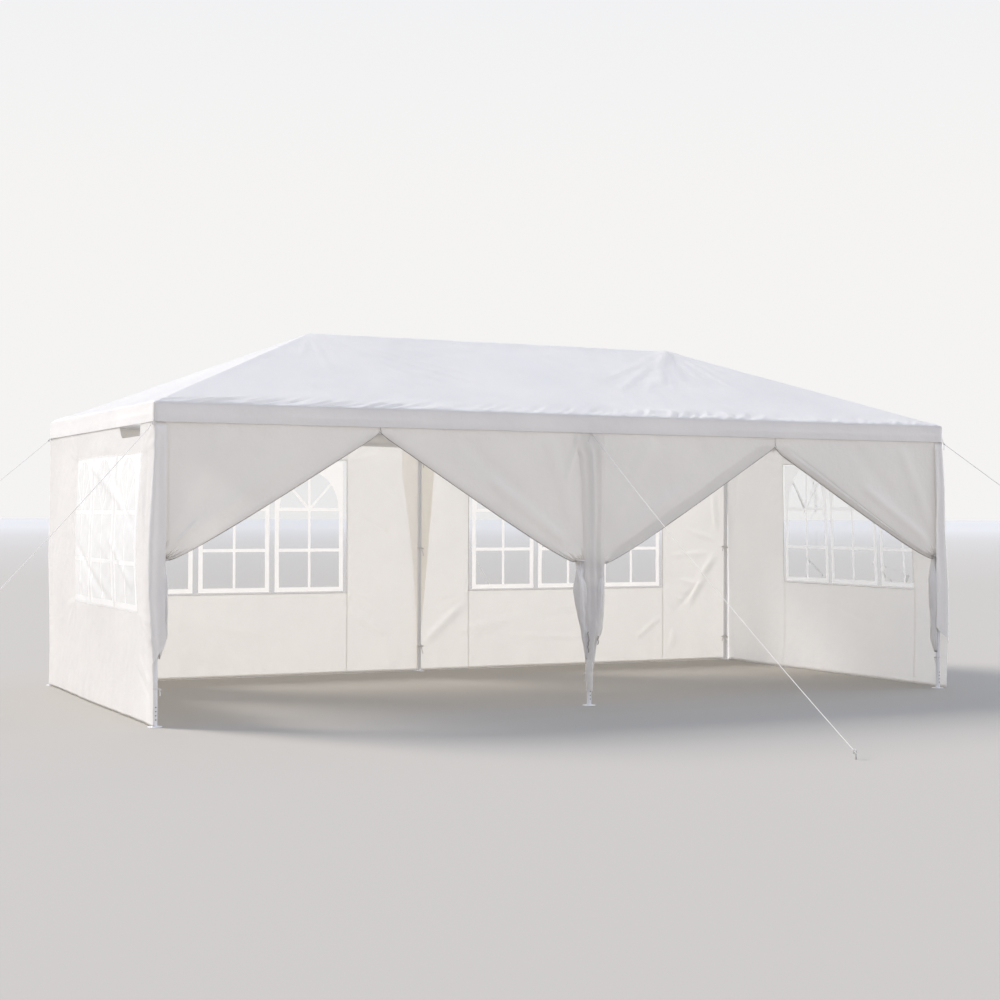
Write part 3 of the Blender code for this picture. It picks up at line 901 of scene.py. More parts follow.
# %% The printed pattern
LIGHTS = 3
LIGHT_WIDTH = 0.575
LIGHT_GAP = 0.045
LIGHT_MARGIN = 0.010
FRAME_BAR = 0.035
MIDDLE_BAR = 0.021
CROSS_BAR = 0.026
SPOKE_BAR = 0.019
SPOKE_REACH = 0.216
SPOKE_RISE = 0.80
ARCH_HALF = 0.247
ARCH_SIDES = 40
FILM_STEP = 0.022
FILM_LAP = 0.006
# Spacing of the points along the bars, and how far the sheet's own points stay from them, against slivers
OUTLINE_STEP = 0.015
CLEAR_OF_OUTLINES = 0.011
# Foot of the arch above the frame's bottom, the lower cross bar above it, and the arch's rise
BACK_LIGHTS = (0.655, 0.330, 0.300)
END_LIGHTS = (0.605, 0.288, 0.345)
# How far the print's middle is from its window's, where the wall covers more of one end than of the other
PRINT_SHIFT = {"left_end": 0.055, "right_end": -0.105}
# How wrinkled the film is, as a share of the back windows' wrinkles, and its ridges
CALM = {"left_end": 0.12, "right_end": 0.60}
RIDGES = {"left_end": 0.0, "right_end": 0.15}
# Creases that the photograph shows in the film of the end walls, as for the walls above
FILM_CREASES = {
    "left_end": (
        (0.24, 1.66, -1.00, 1.28, 0.034, 0.0095), (-0.50, 1.52, -1.18, 1.16, 0.026, -0.0070),
        (0.60, 1.12, -0.46, 0.70, 0.024, -0.0085), (-0.38, 1.17, -1.16, 0.80, 0.026, 0.0080),
        (0.52, 0.92, 0.08, 0.68, 0.020, 0.0045), (-0.14, 1.58, -0.36, 1.20, 0.020, -0.0035),
        (0.12, 1.46, 0.02, 1.24, 0.016, -0.0030), (0.50, 1.38, -0.70, 0.92, 0.028, 0.0035),
        (-0.10, 0.92, -0.70, 0.69, 0.022, 0.0045),
    ),
    "right_end": (
        (-1.12, 0.92, -0.98, 0.74, 0.014, -0.016), (-0.60, 0.90, -1.05, 0.80, 0.016, 0.010),
        (-0.45, 1.00, -0.90, 0.74, 0.014, -0.009), (0.35, 0.95, 0.05, 0.76, 0.016, 0.008),
        (0.50, 1.60, 0.30, 1.30, 0.020, 0.009),
    ),
}


def bar(x0, y0, x1, y1, width):
    """The four corners of a straight bar."""
    share = width / 2 / hypot(x1 - x0, y1 - y0)
    side_x, side_y = -(y1 - y0) * share, (x1 - x0) * share
    corners = ((x0, y0, 1), (x1, y1, 1), (x1, y1, -1), (x0, y0, -1))
    return [(x + side * side_x, y + side * side_y) for x, y, side in corners]


def box_outline(half, bottom, top):
    return [(-half, bottom), (half, bottom), (half, top), (-half, top)]


def closer_points(outline, step):
    """The outline with points added along it, so that its straight edges can follow the wrinkles."""
    made = []
    for (x0, y0), (x1, y1) in zip(outline, outline[1:] + outline[:1]):
        count = max(1, math.ceil(hypot(x1 - x0, y1 - y0) / step))
        made += [(x0 + (x1 - x0) * k / count, y0 + (y1 - y0) * k / count) for k in range(count)]
    return made


def inside_outline(x, y, outline):
    """Whether a point lies in a convex outline that runs clockwise or the other way."""
    turns = [(bx - ax) * (y - ay) - (by - ay) * (x - ax)
             for (ax, ay), (bx, by) in zip(outline, outline[1:] + outline[:1])]
    return min(turns) >= 0 or max(turns) <= 0


def light_outlines(height, sizes):
    """One light about its own middle: its outline, its two clear openings, and the bars across them."""
    arch_foot, lower_bar, arch_rise = sizes
    half = LIGHT_WIDTH / 2
    whole = box_outline(half, 0, height)
    lower = box_outline(half - FRAME_BAR, FRAME_BAR, arch_foot + CROSS_BAR / 2)
    arch = [(ARCH_HALF * cos(a), arch_foot + arch_rise * sin(a)) for a in steps(pi, ARCH_SIDES)]
    bars = [bar(0, 0, 0, arch_foot + arch_rise + 0.01, MIDDLE_BAR)]
    bars += [bar(-half, level, half, level, CROSS_BAR) for level in (arch_foot, lower_bar)]
    spoke_top = arch_foot + arch_rise * SPOKE_RISE
    bars += [bar(0, arch_foot, reach, spoke_top, SPOKE_BAR) for reach in (-SPOKE_REACH, SPOKE_REACH)]
    return whole, lower, arch, bars


def film_wrinkles(side, x, y):
    """How far the film stands off: nearly flat at the back, strongly creased on the slack end walls."""
    start, end, bottom, top = WINDOWS[side]
    middle, half = (start + end) / 2, (end - start) / 2
    rim = min(x + half, half - x, y, top - bottom - y)
    lift = CALM.get(side, 1.0) * (0.0030 * lumps(x, y, 0.21, 41) + 0.0012 * lumps(x, y, 0.08, 42))
    lift += 0.0022 * lumps(x * 0.35, y, 0.05, 43) * ease(0.18, 0.0, rim)
    if side in FILM_CREASES:
        across, along = 0.38 * x - 0.925 * y, (0.925 * x + 0.38 * y) * 0.13
        ridges = 1 - 2 * abs(lumps(across, along, 0.16, 44))
        lift += RIDGES[side] * (0.0090 * ridges + 0.0050 * lumps(across, along, 0.07, 45))
        lift += 0.0030 * lumps(x, y, 0.06, 46) * ease(0.08, 0.0, rim)
        lift += sum(crease(middle + x, bottom + y, fold) for fold in FILM_CREASES[side])
    return lift * ease(0.0, 0.08, rim)


def window_sheet(side):
    """The film and its print, cut from one triangulated sheet."""
    start, end, bottom, window_top = WINDOWS[side]
    middle, height = (start + end) / 2, window_top - bottom
    hang = wall_hang(side)
    sizes = END_LIGHTS if side in FILM_CREASES else BACK_LIGHTS
    whole, lower, arch, bars = light_outlines(height - 2 * LIGHT_MARGIN, sizes)
    half, top = (end - start) / 2 + FILM_LAP, height + FILM_LAP
    outlines = [box_outline(half, -FILM_LAP, top)]
    shift = PRINT_SHIFT.get(side, 0.0)
    centres = [(LIGHT_WIDTH + LIGHT_GAP) * (k - (LIGHTS - 1) / 2) + shift for k in range(LIGHTS)]
    for centre in centres:
        for outline in (whole, lower, arch, *bars):
            outlines.append([(x + centre, y + LIGHT_MARGIN) for x, y in outline])
    points, edges = [], []
    for outline in outlines:
        first = len(points)
        points += [Vector(p) for p in closer_points(outline, OUTLINE_STEP)]
        count = len(points) - first
        edges += [(first + k, first + (k + 1) % count) for k in range(count)]
    on_outlines = kdtree.KDTree(len(points))
    for number, point in enumerate(points):
        on_outlines.insert((point.x, point.y, 0), number)
    on_outlines.balance()
    for x in stations([-half + 0.01, half - 0.01], FILM_STEP):
        for y in stations([0.01 - FILM_LAP, top - 0.01], FILM_STEP):
            if on_outlines.find((x, y, 0))[2] > CLEAR_OF_OUTLINES:
                points.append(Vector((x, y)))
    flat, _, triangles, *_ = geometry.delaunay_2d_cdt(points, edges, [], 0, 0.0004)

    def printed(x, y):
        for centre in centres:
            spot = (x - centre, y - LIGHT_MARGIN)
            if inside_outline(*spot, whole):
                clear = inside_outline(*spot, lower) or inside_outline(*spot, arch)
                return not clear or any(inside_outline(*spot, outline) for outline in bars)
        return False

    made = {}
    for triangle in triangles:
        x = sum(flat[k].x for k in triangle) / 3
        y = sum(flat[k].y for k in triangle) / 3
        if abs(x) <= half and -FILM_LAP < y < top:
            made.setdefault(printed(x, y), []).append(triangle)
    pieces = []
    for is_print, faces in made.items():
        order = sorted({k for face in faces for k in face})
        index = {k: n for n, k in enumerate(order)}
        places = [hang(middle + x, bottom + y) + outwards(side, film_wrinkles(side, x, y))
                  for x, y in (flat[k] for k in order)]
        name = f"window_{side}_{'print' if is_print else 'film'}"
        piece = add_piece(name, places, [tuple(index[k] for k in face) for face in faces],
                          PRINT if is_print else FILM, [tuple(flat[k]) for k in order])
        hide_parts(f"window_{side}")
        pieces.append(piece)
    return pieces


windows = [piece for side in WINDOWS for piece in window_sheet(side)]
print("windows:", count_faces(*windows), "faces")

# %% [markdown]
# ## Doors
# Each bay of the front is closed by one panel with a zip down its middle. Here the zips are open and each
# half is drawn aside and tied to its leg. The upper part of a half stays flat and its edge runs slanting from
# the apex to the tie, with its border rolled in. The slack is taken up by tucks that deepen towards the tie,
# and below it the rest hangs as a pleated bundle. So the grid's columns start evenly along the rail, run
# together at the tie and go on down the bundle.

# %% Door sizes
DOOR_PLANE = -BACK_PLANE
DOOR_COLUMNS = 150
TUCKS = 6
TIE_DEPTH = 0.034
TURNED_UP = 0.27
EDGE_DROOP = 0.035
HALF_DOOR = LEG_X / 2
# Radius of the roll at each free edge, and the width of the cloth that is folded back behind it
BORDERS = {"door_left_outer_half": (0.011, 0.025), "door_left_inner_half": (0.008, 0.030),
           "door_right_inner_half": (0.003, 0.075), "door_right_outer_half": (0.017, 0.060)}
# One half has its edge rolled up once more: how far from the edge that shows as a line, and how deep
ROLLED_LINE = {"door_right_outer_half": (0.085, 0.007)}
# Middle of each bay as the photograph shows it, to the left or right of the true middle, and its drop
APEX_SHIFT = {-1: -0.045, 1: 0.004}
APEX_DROP = {-1: 0.030, 1: 0.066}
CLEAR_OF_LEG = LEG_RADIUS + 0.0025

# Leg, way to the apex, bay, reach and height of the tie, reach and half depth of the bundle, its bottom,
# where its outer side is cut off aslant, and the share that it narrows by there
DOOR_HALVES = {
    "door_left_outer_half": (-LEG_X, 1, -1, 0.058, 1.013, 0.074, 0.036, 0.41, 0.54, 0.10),
    "door_left_inner_half": (0.0, -1, -1, 0.112, 0.978, 0.112, 0.038, 0.31, 0.44, 0.72),
    "door_right_inner_half": (0.0, 1, 1, 0.098, 0.961, 0.104, 0.038, 0.28, 0.40, 0.72),
    "door_right_outer_half": (LEG_X, -1, 1, 0.052, 0.986, 0.078, 0.036, 0.27, 0.36, 0.40),
}
# Soft folds on each flat part: start and end in metres from the leg and above the ground, width and height
DOOR_FOLDS = {
    "door_left_outer_half": (
        (0.10, 1.10, 0.25, 1.24, 0.010, 0.007), (0.06, 1.06, 0.95, 1.70, 0.05, 0.010),
        (0.066, 0.99, 0.064, 1.88, 0.008, -0.006), (0.05, 1.10, 0.45, 1.85, 0.05, 0.007),
        (0.70, 1.82, 0.40, 1.35, 0.06, -0.006),
    ),
    "door_left_inner_half": (
        (0.16, 1.08, 0.80, 1.55, 0.04, 0.009), (0.12, 1.20, 0.35, 1.85, 0.05, 0.008),
        (0.09, 1.84, 0.20, 1.50, 0.022, 0.012), (1.00, 1.80, 0.50, 1.40, 0.06, -0.006),
    ),
    "door_right_inner_half": (
        (0.14, 1.06, 0.75, 1.50, 0.04, 0.008), (0.12, 1.15, 0.50, 1.83, 0.05, 0.009),
        (0.95, 1.80, 0.55, 1.42, 0.06, -0.006),
    ),
    "door_right_outer_half": (
        (0.08, 1.08, 0.75, 1.52, 0.035, 0.010), (0.06, 1.15, 0.40, 1.84, 0.05, 0.009),
        (0.85, 1.82, 0.42, 1.40, 0.06, -0.006),
    ),
}


def apex_reach(leg, bay):
    """How far the apex of a bay is from that leg."""
    return abs(bay * HALF_DOOR + APEX_SHIFT[bay] - leg)


def zip_edge(name, share):
    """The free edge of a half, from its tie, share 0, to its apex, share 1."""
    leg, way, bay, tie_reach, tie_z, *_ = DOOR_HALVES[name]
    droop = EDGE_DROOP * sin(pi * sqrt(share))
    reach = tie_reach + (apex_reach(leg, bay) - 0.001 - tie_reach) * share
    return Vector((leg + way * reach, DOOR_PLANE, tie_z + (HEM_Z - APEX_DROP[bay] - tie_z) * share - droop))


# %% [markdown]
# Under the tie the cloth is wound up loosely, so a cut through the bundle is a flat spiral with its free edge
# outside. Its length is the whole width of the half door. The same long folds run down through every turn,
# and the lower end is turned up inside the bundle, half a turn's gap further in, to keep it off the ground.

# %% The bundle's section
SPIRAL_CORE = 0.16
FREE_EDGE_TURN = pi + 0.95


def bundle_section(half_wide, half_deep, share_across, height, seed, inset):
    """A point of the spiral: away from the leg, and inwards. inset is in gaps between turns."""
    middle = (half_wide + half_deep) / 2
    turns = HALF_DOOR / (2 * pi * middle * 2 / 3)
    out = sqrt(SPIRAL_CORE ** 2 + (1 - SPIRAL_CORE ** 2) * share_across)
    angle = FREE_EDGE_TURN + 2 * pi * turns * (out - 1) / (1 - SPIRAL_CORE)
    out -= inset * (1 - SPIRAL_CORE) / turns
    folds = 1 + 0.15 * cos(4 * angle + 5 * height + seed) + 0.07 * cos(7 * angle - 8 * height + 2 * seed)
    folds += 0.06 * cos(2 * angle + 22 * height + seed)
    return half_wide * out * folds * cos(angle), half_deep * out * folds * sin(angle)


# %% Where a half door hangs
def door_point(name, number, across, stage, share, inset=0.0):
    """A point of a half door: stage 0 hangs, 1 slants to the tie, 2 is the bundle and 3 its turned-up end."""
    leg, way, bay, tie_reach, tie_z, lobe, deep, end_leg, end_out, narrows = DOOR_HALVES[name]
    if stage == 3:
        up = TURNED_UP / (tie_z - end_leg)
        return door_point(name, number, across, 2, 1 - up * share, inset=0.5)
    u = min(across, 1.0)
    bend_z = WALL_TOP - (WALL_TOP - HEM_Z + APEX_DROP[bay]) * u
    tie_x = CLEAR_OF_LEG + (tie_reach - CLEAR_OF_LEG) * u
    top_x = 0.002 + (apex_reach(leg, bay) - 0.003) * u
    phase = (u + 0.020 * sin(11 * u + number)) * TUCKS
    tuck = 1 - abs(2 * (phase % 1) - 1)
    depth = (0.80 + 0.35 * lumps(math.floor(phase), number, 1.7, 51)) * TIE_DEPTH
    if stage == 0:
        return Vector((leg + way * top_x, DOOR_PLANE, WALL_TOP + (bend_z - WALL_TOP) * share))
    if stage == 1:
        up = 1 - share
        x = tie_x + (top_x - tie_x) * up
        z = tie_z + (bend_z - tie_z) * up - EDGE_DROOP * sin(pi * sqrt(up)) * u ** 1.5
        sharp = 1.2 + 7 * ease(0.0, 0.22, up)
        fades = ease(0.11 + 0.11 * lumps(math.floor(phase), number, 1.3, 56), 0.0, up)
        inward = depth * fades * tuck ** sharp
        bend = sum(crease(x, z, fold) for fold in DOOR_FOLDS[name])
        bend += 0.0050 * lumps(x * way + leg, z, 0.36, 52) + 0.0016 * lumps(x * way + leg, z, 0.12, 53)
        inward -= bend * ease(0.0, 0.10, x) * ease(1.0, 0.90, up)
        if name in ROLLED_LINE:
            line, line_depth = ROLLED_LINE[name]
            from_edge = (1 - u) * HALF_DOOR
            rolled = bell(from_edge - line, 0.014) - 1.1 * bell(from_edge - line / 2, 0.034)
            inward += line_depth * rolled * ease(1.0, 0.80, up) * ease(0.0, 0.06, up)
        return Vector((leg + way * x, DOOR_PLANE + inward, z))
    full = ease(0.0, 0.26, share)
    neck_in = depth * tuck
    if across > 1:
        roll_radius = BORDERS[name][0]
        neck_in = 2 * roll_radius * min((across - 1) * HALF_DOOR / (pi * roll_radius), 1.0)
    z = tie_z + (end_leg - tie_z) * share
    slanted = min(max((z - end_leg) / (end_out - end_leg), 0.0), 1.0)
    shrink = (1 - narrows * ease(0.25, 0.90, share)) * (0.16 + 0.84 * slanted ** 0.8)
    half_wide = (lobe - CLEAR_OF_LEG) / 2 * shrink
    off_x, off_in = bundle_section(half_wide, deep * (1 - 0.75 * (1 - shrink)), across, z, number, inset)
    x = CLEAR_OF_LEG + half_wide * 1.02 + off_x + 0.004 * lumps(0, z, 0.09, 57 + number) * full
    inward = 0.55 * deep + off_in + 0.006 * lumps(off_x, z, 0.050, 58) + 0.003 * lumps(off_x, z, 0.022, 59)
    x, inward = tie_x + (x - tie_x) * full, neck_in + (inward - neck_in) * full
    z += 0.012 * (1 - u) * ease(0.8, 1.0, share)
    return Vector((leg + way * max(x, CLEAR_OF_LEG), DOOR_PLANE + inward, z))


# %% Half doors
def door_half(number, name):
    """One half door with its rolled border."""
    way, tie_z = DOOR_HALVES[name][1], DOOR_HALVES[name][4]
    stages = [(0, share) for share in steps(1, 4)[:-1]] + [(1, share) for share in steps(1, 56)[:-1]]
    stages += [(2, share) for share in steps(1, 34)] + [(3, share) for share in steps(1, 7)[1:]]
    roll_radius, width = BORDERS[name]
    across = stations([0, 1], 1 / DOOR_COLUMNS)
    curl = roll_radius * pi
    border = steps(curl, 7)[1:] + [curl + w for w in steps(width, 4)[1:]]
    points, cloth = [], []
    down, previous = [0.0] * len(across), None
    edges = [door_point(name, number, 1.0, *stage) for stage in stages]
    for k, (stage, share) in enumerate(stages):
        row = [door_point(name, number, u, stage, share) for u in across]
        if previous:
            down = [d + (a - b).length for d, a, b in zip(down, row, previous)]
        previous = row
        run = (edges[min(k + 1, len(edges) - 1)] - edges[max(k - 1, 0)]).normalized()
        outer = Vector((-run.z, 0, run.x))
        outer = outer if outer.x * way > 0 else -outer
        open_out = ease(0.0, 0.05, share) if stage == 1 else 0.0
        points += row
        cloth += [(u * HALF_DOOR, -d) for u, d in zip(across, down)]
        for w in border:
            cloth.append((HALF_DOOR + w, -down[-1]))
            if stage > 1:
                points.append(door_point(name, number, 1 + w / HALF_DOOR, stage, share))
                continue
            turn, back = min(w / roll_radius, pi), max(0.0, w - curl)
            back *= ease(1.0, 0.90, share) if stage == 1 else 1.0
            roll = outer * (roll_radius * sin(turn) * open_out) - outer * back * max(open_out, 0.15)
            behind = roll_radius * (1 - cos(turn)) * max(open_out, 0.3)
            points.append(row[-1] + roll + Vector((0, behind, 0)))
    faces = grid_faces(len(stages), len(across) + len(border), flip=True)
    half = add_piece(f"{name}_cloth", points, faces, TARPAULIN, cloth)
    refinish(half, LAYERS, lambda middle: middle.z < tie_z - 0.01)
    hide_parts(name)
    return half


halves = [door_half(number, name) for number, name in enumerate(DOOR_HALVES)]
areas = [sum(polygon.area for polygon in half.data.polygons) for half in halves]
print("doors:", count_faces(*halves), "faces,", ", ".join(f"{area:.2f}" for area in areas), "m2")

# %% [markdown]
# Small round things are swept: a ring of points is carried along a path. With three lobes that turn as they
# go, the same function makes the twisted rope.


# %% Sweeping helpers
def around(first, second, angle):
    """A direction in the plane of two others, turned by that angle from the first to the second."""
    return first * cos(angle) + second * sin(angle)


def tube_faces(rings, sides):
    """Faces between rings of points, and one that closes each end."""
    last = (rings - 1) * sides
    caps = [tuple(range(sides - 1, -1, -1)), tuple(range(last, last + sides))]
    return grid_faces(rings, sides, closed=True) + caps


def sweep(path, radius, sides=7, lobes=0, pitch=1.0):
    """A tube along a path of points, closed at both ends. lobes and pitch twist strands into it."""
    points, travelled = [], 0.0
    side = (path[1] - path[0]).orthogonal().normalized()
    for k, place in enumerate(path):
        run = (path[min(k + 1, len(path) - 1)] - path[max(k - 1, 0)]).normalized()
        side = (side - run * side.dot(run)).normalized()
        across = run.cross(side)
        if k:
            travelled += (place - path[k - 1]).length
        for turn in steps(2 * pi, sides)[:-1]:
            reach = radius
            if lobes:
                reach *= 0.80 + 0.20 * abs(cos(lobes * (turn - 2 * pi * travelled / pitch) / 2)) ** 0.7
            points.append(place + around(side, across, turn) * reach)
    return points, tube_faces(len(path), sides)


def ribbon(path, across, width):
    """A flat strip along a path. across is the direction of its width."""
    points = [place + across * width * half for place in path for half in (-0.5, 0.5)]
    return points, grid_faces(len(path), 2)


def turned_shape(profile, sides=32):
    """A shape turned about Z from a profile of (radius, height) points."""
    points = [Vector((radius * cos(a), radius * sin(a), height)) for radius, height in profile
              for a in steps(2 * pi, sides)[:-1]]
    return points, tube_faces(len(profile), sides)


# %% Zips
ZIP_RADIUS = 0.0024
ZIP_TAIL_WIDTH = 0.012


def zip_line(name):
    """The zip along the free edge of a half, on the outside of the roll."""
    radius = BORDERS[name][0]
    path = []
    for share in steps(1, 60):
        ahead = zip_edge(name, min(share + 0.01, 1.0)) - zip_edge(name, max(share - 0.01, 0.0))
        outer = Vector((ahead.z, 0, -ahead.x)).normalized()
        outer *= 1 if outer.z < 0 else -1
        off = outer * (radius * 0.9 * ease(0.0, 0.05, 1 - share)) + Vector((0, radius * 0.6, 0))
        path.append(zip_edge(name, share) + off)
    return sweep(path, ZIP_RADIUS, sides=6)


def zip_tail(reach, top, bottom, seed):
    """The crumpled lower end of a zip, which shows where a bundle thins out beside the middle leg."""
    path = []
    for height in (top + drop for drop in steps(bottom - top, 18)):
        wander, off = 0.010 * lumps(height, seed, 0.022, 64), 0.004 * lumps(height, seed, 0.02, 65) - 0.016
        path.append(Vector((reach + wander, DOOR_PLANE + off, height)))
    return ribbon(path, Vector((1, 0.4, 0)).normalized(), ZIP_TAIL_WIDTH)


zip_shapes = [zip_line(name) for name in DOOR_HALVES]
zip_shapes += [zip_tail(-0.027, 0.50, 0.36, 1), zip_tail(0.050, 0.470, 0.41, 2)]
zips = join_shapes("door_zips", zip_shapes, ZIP_AND_PAINTED_EDGE_SHADE)
print("zips:", count_faces(zips), "faces")

# %% [markdown]
# The borders of the two middle halves lap over the middle leg and hang in front of it as a loose, creased
# strip. It is wide under the valance, narrows above the ground and stops short of the foot.

# %% Middle strip
STRIP_WIDTH, STRIP_LENGTH = 0.20, 1.80
# Height above the ground, left edge and right edge of the strip, from the middle leg
STRIP_EDGES = ((1.90, -0.090, 0.060), (1.83, -0.130, 0.095), (1.77, -0.142, 0.103), (1.66, -0.090, 0.103),
               (1.50, -0.078, 0.102), (1.05, -0.055, 0.100), (0.95, -0.052, 0.102), (0.70, -0.044, 0.106),
               (0.50, -0.036, 0.092), (0.40, -0.030, 0.054), (0.28, -0.026, 0.036), (0.20, -0.022, 0.028),
               (0.10, -0.019, 0.021))


def strip_edges(height):
    for (high, left, right), (low, next_left, next_right) in zip(STRIP_EDGES, STRIP_EDGES[1:]):
        if low <= height <= high:
            t = ease(high, low, height)
            return left + (next_left - left) * t, right + (next_right - right) * t
    return STRIP_EDGES[-1][1:]


def hang_strip(across, height):
    share = across / STRIP_WIDTH
    left, right = strip_edges(height)
    loose = ease(1.84, 1.72, height)
    x = left + (right - left) * share
    round_leg = max(0.0, sin(pi * share)) ** 0.6
    pleats = sin(2 * pi * (2.6 * share + 0.25 * lumps(height, 0, 0.4, 61)))
    out = 0.0012 + loose * (0.010 * round_leg + 0.0045 * pleats * round_leg)
    out += loose * 0.005 * lumps(x, height, 0.05, 62) * ease(0.9, 0.6, height)
    x += loose * 0.006 * lumps(share * 0.1, height, 0.16, 63) * ease(0.1, 0.5, abs(share - 0.5) * 2)
    tuck = 0.030 * (1 - round_leg) * ease(0.60, 0.40, height)
    return Vector((x, DOOR_PLANE - out + tuck, height))


columns = stations([0, STRIP_WIDTH], 0.005)
rows = stations([STRIP_EDGES[-1][0], STRIP_EDGES[0][0]], 0.015)
strip = cloth_sheet("door_middle_strip", columns, rows, hang_strip)
print("strip:", count_faces(strip), "faces")

# %% [markdown]
# ## Ties, hooks, legs and feet
# Ribbon bows hold the walls to the legs at three heights and the door bundles at one. Each leg is two lengths
# of tube, one slipped into the other and held by a spring button, on a round foot plate, with a row of
# holes near the foot.

# %% Ribbon bows
BOW_HEIGHTS = {"back": (0.21, 1.01, 1.73), "front": (0.23, 1.45)}
RIBBON_WIDTH = 0.009
BOW_RING = LEG_RADIUS + 0.0016
KNOT = [(0.0008, -0.005), (0.004, -0.003), (0.0055, 0), (0.004, 0.003), (0.0008, 0.005)]


def bow(place, facing, seed):
    """A ribbon round a leg at place, tied in a bow on the side that facing points to."""
    side = UP.cross(facing).normalized()
    loop = [place + around(facing, side, a) * BOW_RING for a in steps(2 * pi, 20)]
    shapes = [ribbon(loop, UP, RIBBON_WIDTH)]
    knot = place + facing * (BOW_RING + 0.003)
    for way in (-1, 1):
        droop = 0.35 + 0.2 * sin(seed + way)
        ear = [knot + (side * way - UP * droop) * 0.030 * sin(a) + (facing * 0.006 - UP * 0.004) * cos(a)
               for a in steps(pi, 12)]
        tail = [knot + side * way * (0.010 + 0.012 * t) - UP * 0.055 * t * (1 + 0.2 * way)
                + facing * 0.006 * sin(3 * t + seed) for t in steps(1, 8)]
        shapes += [ribbon(ear, (UP + facing * 0.3).normalized(), RIBBON_WIDTH),
                   ribbon(tail, (side + facing * 0.4 * way).normalized(), RIBBON_WIDTH)]
    points, faces = turned_shape(KNOT, 10)
    return shapes + [([knot + p for p in points], faces)]


LEGS = {f"{side}_{place}": Vector((x * LEG_X, y * LEG_Y, 0))
        for side, y in (("front", -1), ("back", 1)) for place, x in (("left", -1), ("mid", 0), ("right", 1))}
# Where the bows of the middle legs face, at the front and at the back
MID_FACING = {"front": Vector((0.2, 1, 0)), "back": Vector((0.35, -1, 0)).normalized() + Vector((0, -1, 0))}
bows = []
for number, (name, place) in enumerate(LEGS.items()):
    side = name.split("_")[0]
    facing = Vector((-place.x, 0, 0)).normalized() + Vector((0, 0.8 if side == "front" else -1, 0))
    facing = (facing if place.x else MID_FACING[side]).normalized()
    for height in BOW_HEIGHTS[side]:
        bows += bow(place + UP * height, facing, number + height)
ties = join_shapes("leg_ribbon_ties", bows, RIBBON_IN_PAINTED_SHADE)
print("ribbon ties:", count_faces(ties), "faces")


# %% Door ties
def squared(value):
    """A sine or cosine that stays longer near its ends, which squares a circle's corners."""
    return math.copysign(abs(value) ** 0.7, value)


def door_tie(name):
    """A ribbon round the leg and the neck of the bundle."""
    leg, way, _, reach, height, *_ = DOOR_HALVES[name]
    near, far = -LEG_RADIUS - 0.004, reach + 0.006
    centre = leg + way * (near + far) / 2
    wide, deep = (far - near) / 2, 0.030
    loop = [Vector((centre + squared(cos(a)) * wide, DOOR_PLANE + deep - 0.004 + squared(sin(a)) * deep,
                    height + 0.004 * sin(2 * a))) for a in steps(2 * pi, 32)]
    return ribbon(loop, UP, RIBBON_WIDTH)


door_ties = join_shapes("door_ribbon_ties", [door_tie(name) for name in DOOR_HALVES], RIBBON_IN_PAINTED_SHADE)
print("door ties:", count_faces(door_ties), "faces")

# %% Apex hooks
HOOK_RADIUS = 0.0016
HOOK_BEND = 0.008


def apex_hook(bay):
    """A wire hook that carries the top end of a zip, with its short strap."""
    top = Vector((bay * HALF_DOOR + APEX_SHIFT[bay], DOOR_PLANE - 0.004, HEM_Z - APEX_DROP[bay] + 0.030))
    path = [top, top - UP * 0.018]
    path += [top - UP * 0.026 + around(UP, Vector((1, 0, 0)), 0.3 + a) * HOOK_BEND for a in steps(4.6, 12)]
    return sweep(path, HOOK_RADIUS, sides=8)


hooks = join_shapes("apex_hooks", [apex_hook(-1), apex_hook(1)], WIRE)
print("hooks:", count_faces(hooks), "faces")

# %% Legs
JOINT_Z = 0.985
JOINT_LIP = 0.0009
FOOT_RADIUS = 0.045
FOOT_THICK = 0.004
FOOT_ROUND = 0.0012
HOLE_HEIGHTS = (0.045, 0.070, 0.095, 0.120)
HOLE_RADIUS = 0.0036
BUTTON_RADIUS = 0.0042
DISC_SIDES = 14


def disc(place, out, radius, rise):
    """A shallow round button or hole rim on a tube, facing out."""
    side = UP.cross(out).normalized()
    up = out.cross(side)
    points = [place + out * rise]
    for share, lift in ((0.55, 0.85), (0.85, 0.45), (1.0, -0.3)):
        points += [place + around(side, up, a) * radius * share + out * rise * lift
                   for a in steps(2 * pi, DISC_SIDES)[:-1]]
    faces = [(0, 1 + k, 1 + (k + 1) % DISC_SIDES) for k in range(DISC_SIDES)]
    rings = grid_faces(3, DISC_SIDES, closed=True, flip=True)
    faces += [tuple(1 + corner for corner in face) for face in rings]
    return points, faces


def leg_tube(name, place):
    r, top = LEG_RADIUS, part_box(f"leg_{name}")[1].z
    edge = FOOT_RADIUS - FOOT_ROUND
    profile = [
        (0.004, 0.0002), (edge, 0.0002), (FOOT_RADIUS, 0.0012), (FOOT_RADIUS, FOOT_THICK - FOOT_ROUND),
        (edge, FOOT_THICK), (r + 0.0045, FOOT_THICK + 0.0003), (r + 0.0028, FOOT_THICK + 0.0022),
        (r, FOOT_THICK + 0.0050), (r - JOINT_LIP, FOOT_THICK + 0.0060), (r - JOINT_LIP, JOINT_Z - 0.001),
        (r, JOINT_Z), (r, JOINT_Z + 0.0015), (r, top - 0.0015), (r - 0.0012, top),
    ]
    points, faces = turned_shape(profile)
    body = add_piece(f"leg_{name}_tube", [place + p for p in points], faces, STEEL)
    body.data.set_sharp_from_angle(angle=radians(38))
    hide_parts(f"leg_{name}")
    return body


